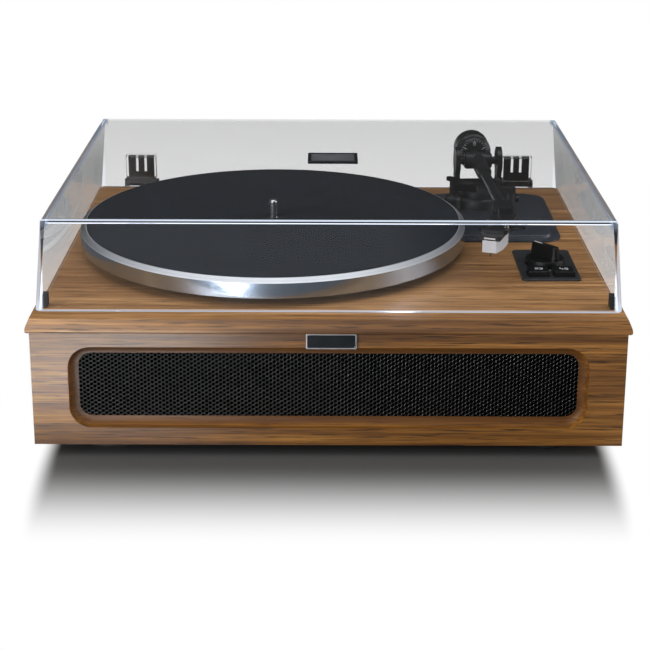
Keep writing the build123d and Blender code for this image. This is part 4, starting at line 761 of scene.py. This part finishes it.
# Tracking dial: its front face carries a printed scale of white ticks and plain figures.
# The scale is printed straight on the moulding, so it turns with the dial.
MARK_LIFT = 0.06 * MM
DIAL_TICKS = 30
DIAL_LONG_EVERY = 5
DIAL_FIGURE_COUNT = 4
DIAL_MARGIN = 0.4 * MM
DIAL_LONG_TICK = 2.0 * MM
DIAL_SHORT_TICK = 1.3 * MM
DIAL_TICK_WIDTH = 0.35 * MM
DIAL_FIGURE_DROP = 1.5 * MM
DIAL_FIGURE_HEIGHT = 2.2 * MM
FIGURE_TALL = 1.6
FIGURE_PITCH = 1.5
FIGURE_STROKE = 0.22
FIGURES = {
    "0": (((0, 0), (1, 0), (1, 1.6), (0, 1.6), (0, 0)),),
    "1": (((0.5, 0), (0.5, 1.6), (0.2, 1.3)),),
    "2": (((0, 1.6), (1, 1.6), (1, 0.8), (0, 0.8), (0, 0), (1, 0)),),
    "3": (((0, 1.6), (1, 1.6), (1, 0), (0, 0)), ((0.3, 0.8), (1, 0.8))),
    "4": (((0, 1.6), (0, 0.7), (1, 0.7)), ((0.75, 1.1), (0.75, 0))),
    "5": (((1, 1.6), (0, 1.6), (0, 0.9), (1, 0.9), (1, 0), (0, 0)),),
}


def print_or_shade_line(mesh, place, points, width):
    """A flat line through points on a face, for print or painted shade; place turns (across, up) into a
    point.
    """
    for start, end in zip(points, points[1:]):
        run = Vector((end[0] - start[0], end[1] - start[1]))
        side = Vector((-run.y, run.x)).normalized() * width / 2
        over = run.normalized() * width / 2
        corners = (
            (start[0] - over.x + side.x, start[1] - over.y + side.y),
            (start[0] - over.x - side.x, start[1] - over.y - side.y),
            (end[0] + over.x - side.x, end[1] + over.y - side.y),
            (end[0] + over.x + side.x, end[1] + over.y + side.y),
        )
        mesh.faces.new([mesh.verts.new(place(*corner)) for corner in corners])


def printed_figures(mesh, place, text, middle, height):
    """Plain figures in thin lines, centred on a place of a face."""
    size = height / FIGURE_TALL
    pitch = FIGURE_PITCH * size
    left = middle[0] - (pitch * (len(text) - 1) + size) / 2
    foot = middle[1] - height / 2
    for i, figure in enumerate(text):
        for strokes in FIGURES[figure]:
            points = [(left + i * pitch + x * size, foot + y * size) for x, y in strokes]
            print_or_shade_line(mesh, place, points, FIGURE_STROKE * size)


arm_pivot = Vector(joints["tracking_dial_turn"]["pos_m"])
arm_axis = Vector(joints["tracking_dial_turn"]["axis"]).normalized()
arm_side = UP.cross(arm_axis).normalized()
dial_points = [vertex.co - arm_pivot for vertex in frame["nodes"]["tracking_dial"].data.vertices]
dial_front = max(point.dot(arm_axis) for point in dial_points)
dial_face = [point for point in dial_points if point.dot(arm_axis) > dial_front - FLUSH]
dial_face_reach = max((point - arm_axis * dial_front).length for point in dial_face)


def on_dial(turn):
    """Points on the dial's front face, as seen in a frame turned about the arm."""
    out = math.cos(turn) * UP + math.sin(turn) * arm_side
    around = math.cos(turn) * arm_side - math.sin(turn) * UP
    start = arm_pivot + arm_axis * (dial_front + MARK_LIFT)
    return lambda across, up: start + around * across + out * up


dial_marks = bmesh.new()
for tick in range(DIAL_TICKS):
    place = on_dial(math.tau * tick / DIAL_TICKS)
    long_tick = tick % DIAL_LONG_EVERY == 0
    inner = dial_face_reach - (DIAL_LONG_TICK if long_tick else DIAL_SHORT_TICK)
    tick_line = ((0.0, inner), (0.0, dial_face_reach - DIAL_MARGIN))
    print_or_shade_line(dial_marks, place, tick_line, DIAL_TICK_WIDTH)
    if long_tick:
        figure = str(tick // DIAL_LONG_EVERY % DIAL_FIGURE_COUNT)
        printed_figures(dial_marks, place, figure, (0.0, inner - DIAL_FIGURE_DROP), DIAL_FIGURE_HEIGHT)
print_white = moulded(
    "print_white", tint(222, 223, 225), tint(232, 232, 234), roughness=0.5, swing=0.1, relief=0.005 * MM
)
finish_piece("dial_marks", dial_marks, print_white, "tracking_dial")

# Control plate with its knob and two keys: black mouldings let into the deck.
# The knob has a wing grip across a round skirt, and the keys have a rounded top edge.
# White figures, a pointer line, ticks round the knob and a short dash are printed on them.
KNOB_TICKS = 5
KNOB_TICK_GAP = 0.6 * MM
KNOB_TICK_LENGTH = 2.2 * MM
KNOB_SWEEP = 90.0
BLADE_ANGLE = -49.0
BLADE_HALF = 10.5 * MM
POINTER_START = 0.35 * BLADE_HALF
POINTER_WIDTH = 0.8 * MM
PRINT_WIDTH = 0.5 * MM
KEY_FIGURE_HEIGHT = 3.6 * MM
DASH_HALF = 2.6 * MM
DASH_GAP = 1.6 * MM
panel_black = moulded(
    "panel_black", tint(7, 8, 9), tint(11, 12, 13), roughness=0.42, Specular_IOR_Level=0.3
)
control_satin = moulded("control_satin", tint(35, 38, 40), tint(44, 47, 49), roughness=0.42)
dress(control_satin, "control_plate")
dress(panel_black, "selector_switch", "selector_knob", "left_key", "right_key")


def on_top(name):
    """Points just over a node's top, measured from the middle of its box."""
    low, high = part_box(name)
    middle = (low + high) / 2
    return lambda across, up: (middle.x + across, middle.y + up, high.z + MARK_LIFT)


def ray(turn, *reaches):
    """Places along a line from the middle, at an angle."""
    return [(reach * math.cos(turn), reach * math.sin(turn)) for reach in reaches]


for name, text in (("left_key", "33"), ("right_key", "45")):
    key_marks = bmesh.new()
    printed_figures(key_marks, on_top(name), text, (0.0, 0.0), KEY_FIGURE_HEIGHT)
    finish_piece(name + "_figures", key_marks, print_white, name)
knob_low, knob_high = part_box("selector_knob")
knob_middle = (knob_low + knob_high) / 2
pointer_turn = math.radians(BLADE_ANGLE) + math.pi
pointer_mark = bmesh.new()
pointer_line = ray(pointer_turn, POINTER_START, BLADE_HALF)
print_or_shade_line(pointer_mark, on_top("selector_knob"), pointer_line, POINTER_WIDTH)
finish_piece("knob_pointer", pointer_mark, print_white, "selector_knob")
plate_print = bmesh.new()
plate_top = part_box("control_plate")[1].z + MARK_LIFT


def by_knob(across, up):
    """A point on the control plate, measured from the knob's axis."""
    return (knob_middle.x + across, knob_middle.y + up, plate_top)


tick_start = (knob_high.x - knob_low.x) / 2 + KNOB_TICK_GAP
for tick in range(KNOB_TICKS):
    turn = pointer_turn - math.radians(KNOB_SWEEP) * tick / (KNOB_TICKS - 1)
    print_or_shade_line(plate_print, by_knob, ray(turn, tick_start, tick_start + KNOB_TICK_LENGTH), PRINT_WIDTH)
dash_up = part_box("left_key")[1].y - knob_middle.y + DASH_GAP
print_or_shade_line(plate_print, by_knob, ((-DASH_HALF, dash_up), (DASH_HALF, dash_up)), PRINT_WIDTH)
finish_piece("control_plate_print", plate_print, print_white, "cabinet")

# Boards inside: glass-fibre circuit boards under green solder mask, on moulded standoffs.
# The amplifier's heat sink is an aluminium extrusion, sawn to length and screwed to its board.
solder_mask = moulded("solder_mask", tint(24, 78, 44), tint(34, 94, 54), roughness=0.35, relief=0.02 * MM)
sink_aluminium = turned_metal("sink_aluminium", tint(150, 151, 154), tint(172, 173, 176), roughness=0.4)
dress(solder_mask, "switch_board", "amplifier_board")
dress(sink_aluminium, "heat_sink")
dress(satin_black, "board_standoffs")

# Sockets at the back: a plate of line sockets and the inlet for the supply, black mouldings.
# Each line socket has a plated shell over its core and a coloured ring at its root.
SOCKET_LENGTH = 8.0 * MM
SOCKET_RING = 5.7 * MM
SOCKET_RING_HEIGHT = 1.4 * MM
SOCKET_SHELL = 4.3 * MM
SOCKET_BORE = 2.6 * MM
SOCKET_CHAMFER = 0.3 * MM
SOCKET_PLATING = 0.1 * MM
SOCKET_STEPS = 32
dress(satin_black, "line_sockets", "power_inlet")
socket_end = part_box("line_sockets")[1].y
socket_root = socket_end - SOCKET_LENGTH
socket_points = [vertex.co for vertex in frame["nodes"]["line_sockets"].data.vertices]
socket_tips = [point for point in socket_points if point.y > socket_end - FLUSH]
socket_split = sum(tip.x for tip in socket_tips) / len(socket_tips)


def circle(reach, steps):
    """Places around a circle, in order."""
    turns = [math.tau * i / steps for i in range(steps)]
    return [(reach * math.cos(turn), reach * math.sin(turn)) for turn in turns]


def turned_about_y(middle, profile):
    """A ring turned about a line towards the back, from (reach, place along the line) points."""
    mesh = bmesh.new()
    rings = []
    for reach, along in profile:
        rings.append([(middle[0] + x, along, middle[1] + z) for x, z in circle(reach, SOCKET_STEPS)])
    rings.append(rings[0])
    skin(mesh, rings)
    bmesh.ops.recalc_face_normals(mesh, faces=mesh.faces[:])
    return mesh


nickel = turned_metal("nickel", tint(196, 194, 188), tint(214, 212, 206), roughness=0.2, relief=0.004 * MM)
ring_red = moulded(
    "ring_red", tint(170, 24, 22), tint(184, 34, 30), roughness=0.4, swing=0.1, relief=0.01 * MM
)
ring_white = moulded(
    "ring_white", tint(214, 214, 210), tint(224, 224, 220), roughness=0.4, swing=0.1, relief=0.01 * MM
)
ring_top = socket_root + SOCKET_RING_HEIGHT
ring_profile = (
    (SOCKET_SHELL, socket_root),
    (SOCKET_RING, socket_root),
    (SOCKET_RING, ring_top - SOCKET_CHAMFER),
    (SOCKET_RING - SOCKET_CHAMFER, ring_top),
    (SOCKET_SHELL, ring_top),
)
shell_profile = (
    (SOCKET_SHELL - SOCKET_PLATING, socket_root),
    (SOCKET_SHELL, socket_root),
    (SOCKET_SHELL, socket_end - SOCKET_CHAMFER),
    (SOCKET_SHELL - SOCKET_CHAMFER, socket_end + SOCKET_PLATING),
    (SOCKET_BORE, socket_end + SOCKET_PLATING),
    (SOCKET_BORE, socket_end - SOCKET_PLATING),
)
for label, side, ring_finish in (("left", -1, ring_white), ("right", 1, ring_red)):
    tips = [tip for tip in socket_tips if (tip.x - socket_split) * side > 0]
    middle = [(min(places) + max(places)) / 2 for places in zip(*((tip.x, tip.z) for tip in tips))]
    finish_piece(label + "_socket_ring", turned_about_y(middle, ring_profile), ring_finish, "cabinet")
    finish_piece(label + "_socket_shell", turned_about_y(middle, shell_profile), nickel, "cabinet")

# Wood screws: plated countersunk heads, sunk nearly flush, each cross recess drawn as a flat black
# cross of painted shade.
# They hold the back board and the base to the blocks and the sides.
SCREW_HEAD = 3.4 * MM
SCREW_RISE = 0.35 * MM
SCREW_PROFILE = ((1.0, 0.0), (0.93, 0.6), (0.6, 0.9), (0.15, 1.0))
SCREW_CROSS = 1.9 * MM
SCREW_CROSS_WIDTH = 0.75 * MM
SCREW_CROSS_TURN = 20.0
SCREW_EDGE = 7.0 * MM
SCREW_SPREAD = 120.0 * MM
SCREW_STEPS = 20
SCREW_WELD = 0.001 * MM
back_low, back_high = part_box("back_panel")
base_low, base_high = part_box("bottom_panel")
head_mesh = bmesh.new()
recess_shade_mesh = bmesh.new()


def screw(place):
    """One screw head on a board, its recess a painted shade cross; place turns (across, up, out) into a
    point.
    """
    rings = []
    for reach, out in SCREW_PROFILE:
        places = circle(reach * SCREW_HEAD, SCREW_STEPS)
        rings.append([place(across, up, out * SCREW_RISE) for across, up in places])
    skin(head_mesh, rings)
    head_mesh.faces.new([head_mesh.verts.new(point) for point in rings[-1]])
    # Painted shade: the cross recess is a flat black cross laid just over the head.
    first_turn = math.radians(SCREW_CROSS_TURN)
    for turn in (first_turn, first_turn + math.pi / 2):
        print_or_shade_line(
            recess_shade_mesh,
            lambda across, up: place(across, up, SCREW_RISE + MARK_LIFT),
            ray(turn, -SCREW_CROSS, SCREW_CROSS),
            SCREW_CROSS_WIDTH,
        )


for x in (-SCREW_SPREAD, 0.0, SCREW_SPREAD):
    for z in (back_low.z + SCREW_EDGE, back_high.z - SCREW_EDGE):
        screw(lambda across, up, out: (x - across, back_high.y + out, z + up))
    for y in (base_low.y + SCREW_EDGE, base_high.y - SCREW_EDGE):
        screw(lambda across, up, out: (x + across, y - up, base_low.z - out))
for x in (base_low.x + SCREW_EDGE, base_high.x - SCREW_EDGE):
    screw(lambda across, up, out: (x + across, -up, base_low.z - out))
bmesh.ops.remove_doubles(head_mesh, verts=head_mesh.verts[:], dist=SCREW_WELD)
bmesh.ops.recalc_face_normals(head_mesh, faces=head_mesh.faces[:])
finish_piece("board_screws", head_mesh, zinc_plate, "cabinet")
finish_piece("board_screw_recess_shade", recess_shade_mesh, black_enamel_and_shade, "cabinet")

# Dust cover: one clear acrylic moulding with thin walls, drawn in towards the top.
# It hangs on two black plastic hinges whose tongues slip into pockets at its back.
# Its edges carry painted light: the front ones glow as painted bright lines, and those over the side
# walls get a painted grey-blue shade in the glass colour.
ACRYLIC_TINT = (0.996, 0.997, 1.0, 1.0)
ACRYLIC_SHADE = (0.95, 0.955, 0.965, 1.0)
ACRYLIC_BEND = 1.22
PAINTED_EDGE_GLOW = tint(214, 226, 244)
EDGE_DARK = tint(0, 0, 0)
EDGE_PAINTED_SHADE_TINT = (0.2, 0.25, 0.33, 1.0)
TOP_EDGE_RANGE = (0.2, 0.45)
CORNER_EDGE_RANGE = (0.02, 0.35)
CORNER_GLOW = 0.55
FOOT_GLOW = 0.35
BACK_GLOW = 0.25
SIDE_GLOW = 0.17
FRONT_REACH = (40.0 * MM, 12.0 * MM)
FOOT_REACH = (0.9 * MM, 0.6 * MM)
WALL_REACH = (5.5 * MM, 4.0 * MM)
TOP_REACH = (8.0 * MM, 4.0 * MM)
TOP_SKIN = 1.0 * MM
cover_low, cover_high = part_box("dust_cover")
cover_points = [vertex.co for vertex in frame["nodes"]["dust_cover"].data.vertices]
cover_top_side = max(abs(point.x) for point in cover_points if point.z > cover_high.z - TOP_SKIN)


def larger(tree, first, second=0.0):
    """The larger of two values."""
    return math_node(tree, "MAXIMUM", first, second)


# Painted edge glow: emission along the rounded edges, strongest at the front, and a mask over the side
# walls.
edge_inputs = {"Facing": (0.0, 0.0, 1.0), "Place": (0.0, 0.0, 0.0), "Glow": PAINTED_EDGE_GLOW}
painted_edge_lines, given, result = start_effect("painted_edge_lines", edge_inputs, ("Color", "Side"))
tree = painted_edge_lines
across, along, up = (math_node(tree, "ABSOLUTE", part_of(tree, given["Facing"], axis)) for axis in "XYZ")
place_across, place_along, place_up = (part_of(tree, given["Place"], axis) for axis in "XYZ")
level = math_node(tree, "SQRT", math_node(tree, "SUBTRACT", 1.0, times(tree, up, up)))
top_edge = between(tree, times(tree, up, level), *TOP_EDGE_RANGE)
corner_edge = between(tree, times(tree, across, along), *CORNER_EDGE_RANGE)
foot_edge = between(tree, place_up, *(cover_low.z + reach for reach in FOOT_REACH))
edge = larger(tree, top_edge, times(tree, corner_edge, CORNER_GLOW))
edge = larger(tree, edge, times(tree, foot_edge, FOOT_GLOW))
at_front = between(tree, place_along, *(cover_low.y + reach for reach in FRONT_REACH))
edge = times(tree, edge, math_node(tree, "ADD", times(tree, at_front, 1 - BACK_GLOW), BACK_GLOW))
over_wall = between(
    tree, math_node(tree, "ABSOLUTE", place_across), *(cover_top_side - reach for reach in WALL_REACH)
)
near_top = between(tree, place_up, *(cover_high.z - reach for reach in TOP_REACH))
side_edge = times(tree, over_wall, near_top)
edge = larger(tree, edge, times(tree, side_edge, SIDE_GLOW))
tree.links.new(blended(tree, edge, EDGE_DARK, given["Glow"]), result["Color"])
tree.links.new(side_edge, result["Side"])
clear_acrylic, tree, shader = start_finish(
    "clear_acrylic", Roughness=0.0, IOR=ACRYLIC_BEND, Transmission_Weight=1.0, Emission_Strength=1.0
)
place = add(tree, "TexCoord").outputs
painted_edge_light = add(tree, "Group", {"Facing": place["Normal"], "Place": place["Object"]}, node_tree=painted_edge_lines)
tree.links.new(painted_edge_light.outputs["Color"], shader.inputs["Emission Color"])
# Painted shade: the glass turns grey-blue over the side walls near the top.
acrylic_colour = blended(tree, painted_edge_light.outputs["Side"], ACRYLIC_TINT, EDGE_PAINTED_SHADE_TINT)
tree.links.new(acrylic_colour, shader.inputs["Base Color"])
through = add(tree, "BsdfTransparent", {"Color": ACRYLIC_SHADE})
path = add(tree, "LightPath").outputs
seen = larger(tree, path["Is Camera Ray"], path["Is Transmission Ray"])
pane = add(tree, "MixShader", {0: seen, 1: through.outputs[0], 2: shader.outputs[0]})
tree.links.new(pane.outputs[0], tree.nodes["Material Output"].inputs["Surface"])
dress(clear_acrylic, "dust_cover")
dress(smooth_black, "hinge_brackets", "hinge_tongues")
dress(black_enamel_and_shade, "hinge_screws")
dress(zinc_plate, "hinge_pins")

# Cover plate: a bare plate with a black raised border and a grey face, stuck on top of the cover.
# It is moulded plastic, with the same fine skin as the fittings.
COVER_PLATE_X = 3.0 * MM
COVER_PLATE_Y = 16.5 * MM
COVER_PLATE_HALF_WIDTH = 19.5 * MM
COVER_PLATE_HALF_DEPTH = 14.0 * MM
COVER_PLATE_THICKNESS = 2.0 * MM
COVER_PLATE_BORDER = 2.4 * MM


def on_cover(across, up, out):
    """A point over the cover's top."""
    return (COVER_PLATE_X + across, COVER_PLATE_Y + up, cover_high.z + out)


border, face = bordered_plate(
    on_cover, COVER_PLATE_HALF_WIDTH, COVER_PLATE_HALF_DEPTH, COVER_PLATE_THICKNESS, COVER_PLATE_BORDER
)
plate_grey = moulded("plate_grey", tint(70, 72, 76), tint(84, 86, 90), roughness=0.45)
finish_piece("cover_plate_border", border, plate_black, "dust_cover")
finish_piece("cover_plate_face", face, plate_grey, "dust_cover")

# Studio floor: a sheet painted grey near the object, as a painted shadow over its real one, fading to white
# around it.
# Its mirror image in the metal and the light it throws back up are set apart from how it looks,
# and from below it is clear, so the underside can be seen.
FLOOR_HALF = 6.0
FLOOR_SHADOW_GREY = (0.25, 0.25, 0.25, 1.0)
FLOOR_WHITE = (1.0, 1.0, 1.0, 1.0)
FLOOR_SHADE_HALF_WIDTH = 0.186
FLOOR_SHADE_HALF_DEPTH = 0.16
FLOOR_SIDE_FALL = 8.0
FLOOR_SHADOW_FADE = (0.024, 0.142)
FLOOR_MIRROR_REACH = (0.6, 0.9)
FLOOR_MIRROR_SIDE = (0.22, 0.1)
FLOOR_BOUNCE = 0.85
floor_mesh = bmesh.new()
floor_corners = [(x * FLOOR_HALF, y * FLOOR_HALF, 0.0) for x, y in ((-1, -1), (1, -1), (1, 1), (-1, 1))]
floor_mesh.faces.new([floor_mesh.verts.new(corner) for corner in floor_corners])
floor_paint, tree, shader = start_finish(
    "floor_paint", Base_Color=FLOOR_SHADOW_GREY, Roughness=1.0, Specular_IOR_Level=0.0
)


def beyond(tree, value, half):
    """How far a value lies outside a band of this half width."""
    return larger(tree, math_node(tree, "SUBTRACT", math_node(tree, "ABSOLUTE", value), half))


place = object_place(tree)
# Painted shadow: grey in a band round the object's footprint, fading to white beyond it.
floor_across = part_of(tree, place, "X")
beside = times(tree, beyond(tree, floor_across, FLOOR_SHADE_HALF_WIDTH), FLOOR_SIDE_FALL)
before = beyond(tree, part_of(tree, place, "Y"), FLOOR_SHADE_HALF_DEPTH)
far_parts = add(tree, "CombineXYZ", {"X": beside, "Y": before})
far = add(tree, "VectorMath", {0: far_parts.outputs[0]}, operation="LENGTH").outputs["Value"]
fade_inputs = {"Value": far, "From Min": FLOOR_SHADOW_FADE[0], "From Max": FLOOR_SHADOW_FADE[1]}
fade = add(tree, "MapRange", fade_inputs, interpolation_type="SMOOTHSTEP").outputs["Result"]
reach = add(tree, "VectorMath", {0: place}, operation="LENGTH").outputs["Value"]
path = add(tree, "LightPath").outputs
mirrored = times(tree, path["Is Glossy Ray"], between(tree, reach, *FLOOR_MIRROR_REACH))
mirrored = times(tree, mirrored, between(tree, floor_across, *FLOOR_MIRROR_SIDE))
seen = larger(tree, path["Is Camera Ray"], path["Is Transmission Ray"])
seen = larger(tree, seen, mirrored)
seen = larger(tree, seen, times(tree, path["Is Diffuse Ray"], FLOOR_BOUNCE))
white = add(tree, "Emission", {"Color": FLOOR_WHITE, "Strength": 1.0})
paint = add(tree, "MixShader", {0: times(tree, fade, seen), 1: shader.outputs[0], 2: white.outputs[0]})
underneath = add(tree, "NewGeometry").outputs["Backfacing"]
clear = add(tree, "BsdfTransparent")
open_below = add(tree, "MixShader", {0: underneath, 1: paint.outputs[0], 2: clear.outputs[0]})
tree.links.new(open_below.outputs[0], tree.nodes["Material Output"].inputs["Surface"])
floor = new_object("floor", floor_mesh, floor_paint)

# Dark flag: a dome of dark cloth round the set, seen only in polished surfaces.
# It keeps the reflections of the metal and the acrylic from washing out, and the white backdrop
# lights the scene past it.
FLAG_REACH = 3.0
FLAG_LOW = 1.0
FLAG_HIGH = 90.0
FLAG_STEPS = 10
FLAG_TURNS = 48
FLAG_GREY = (0.05, 0.05, 0.05, 1.0)
BACKDROP_WHITE = (1.0, 1.0, 1.0, 1.0)
BACKDROP_FILL = 0.45
flag_mesh = bmesh.new()
flag_rings = []
for step in range(FLAG_STEPS):
    rise = math.radians(FLAG_LOW + (FLAG_HIGH - FLAG_LOW) * step / FLAG_STEPS)
    places = circle(FLAG_REACH * math.cos(rise), FLAG_TURNS)
    flag_rings.append([(x, y, FLAG_REACH * math.sin(rise)) for x, y in places])
skin(flag_mesh, flag_rings)
flag_mesh.faces.new(flag_mesh.verts[:][-FLAG_TURNS:])
flag_cloth, tree, shader = start_finish(
    "flag_cloth", Base_Color=FLAG_GREY, Roughness=1.0, Specular_IOR_Level=0.0
)
dark_flag = new_object("dark_flag", flag_mesh, flag_cloth)
dark_flag.visible_camera = False
dark_flag.visible_diffuse = False
dark_flag.visible_transmission = False
dark_flag.visible_shadow = False
backdrop = bpy.data.worlds.new("studio")
bpy.context.scene.world = backdrop
backdrop.use_nodes = True
tree = backdrop.node_tree
path = add(tree, "LightPath").outputs
shown = larger(tree, path["Is Camera Ray"], path["Is Transmission Ray"])
shown = larger(tree, shown, path["Is Glossy Ray"])
strength = add(tree, "MapRange", {"Value": shown, "To Min": BACKDROP_FILL, "To Max": 1.0})
tree.links.new(strength.outputs["Result"], tree.nodes["Background"].inputs["Strength"])
tree.nodes["Background"].inputs["Color"].default_value = BACKDROP_WHITE

# Lamps: soft boxes at the left front, at the right and overhead light the whole set.
# Two more add only sheen to the lacquer of the front and the lip, and one just over the floor
# draws the bright streak in the platter's side.


def soft_lamp(name, place, aim, size, power, shaded=(), only=()):
    """A soft lamp pointing at a place, kept off some things or kept to a few."""
    lamp = bpy.data.lights.new(name, "AREA")
    lamp.shape = "RECTANGLE"
    lamp.size, lamp.size_y = size
    lamp.energy = power
    stand = bpy.data.objects.new(name, lamp)
    stand.location = place
    stand.rotation_euler = (Vector(aim) - Vector(place)).to_track_quat("-Z", "Y").to_euler()
    bpy.context.scene.collection.objects.link(stand)
    flags = bpy.data.collections.new(name + "_flags")
    for thing in (*shaded, *only):
        flags.objects.link(thing)
    for link in flags.collection_objects:
        link.light_linking.link_state = "INCLUDE" if only else "EXCLUDE"
    stand.light_linking.receiver_collection = flags
    return stand


platter = frame["nodes"]["platter"]
left_lamp = soft_lamp(
    "left_lamp",
    place=(-1.5, -1.1, 0.7),
    aim=(0.0, 0.0, 0.06),
    size=(0.26, 1.0),
    power=26.0,
    shaded=(floor, platter),
)
left_lamp.visible_glossy = False
soft_lamp(
    "right_lamp", place=(1.5, -0.1, 0.5), aim=(0.0, 0.0, 0.1), size=(1.0, 0.8), power=9.0, shaded=(floor,)
)
soft_lamp(
    "top_lamp", place=(0.0, -0.25, 2.0), aim=(0.0, -0.25, 0.1), size=(3.2, 1.6), power=30.0, shaded=(floor,)
)
low_sheen_lamp = soft_lamp(
    "low_sheen_lamp",
    place=(-0.19, -0.29, 0.004),
    aim=(-0.19, -0.25, 0.2),
    size=(0.2, 0.16),
    power=1.6,
    shaded=(floor, platter),
)
lip_sheen_lamp = soft_lamp(
    "lip_sheen_lamp",
    place=(-0.73, -1.25, 0.46),
    aim=(-0.73, 0.0, 0.46),
    size=(0.76, 0.32),
    power=18.0,
    shaded=(floor, platter),
)
for lamp in (low_sheen_lamp, lip_sheen_lamp):
    lamp.visible_diffuse = False
    lamp.visible_camera = False
    lamp.visible_transmission = False
    lamp.data.cycles.use_multiple_importance_sampling = False
streak_lamp = soft_lamp(
    "streak_lamp",
    place=(-0.222, -0.485, 0.004),
    aim=(-0.222, -0.4, 0.2),
    size=(0.145, 0.27),
    power=2.3,
    only=(platter,),
)
streak_lamp.visible_camera = False

# Camera: a long lens a little above the front, set well back and looking down on the cover.
# It stands close to the middle plane, and its small turn and roll follow the real viewpoint.
FRAME_PIXELS = 650
SENSOR = 36.0
CAMERA_PLACE = (-1.005 * MM, -1180.324 * MM, 471.489 * MM)
CAMERA_PITCH = 16.639
CAMERA_YAW = -0.094
CAMERA_ROLL = 0.158
CAMERA_FOCUS_PIXELS = 1570.332
CAMERA_SHIFT = -0.154
lens = bpy.data.cameras.new("camera")
lens.sensor_width = SENSOR
lens.lens = CAMERA_FOCUS_PIXELS / FRAME_PIXELS * SENSOR
lens.shift_y = CAMERA_SHIFT
camera = bpy.data.objects.new("camera", lens)
camera.matrix_world = (
    Matrix.Translation(CAMERA_PLACE)
    @ Matrix.Rotation(math.radians(-CAMERA_YAW), 4, "Z")
    @ Matrix.Rotation(math.radians(90 - CAMERA_PITCH), 4, "X")
    @ Matrix.Rotation(math.radians(CAMERA_ROLL), 4, "Z")
)
bpy.context.scene.collection.objects.link(camera)
bpy.context.scene.camera = camera
bpy.context.scene.view_settings.view_transform = "Standard"
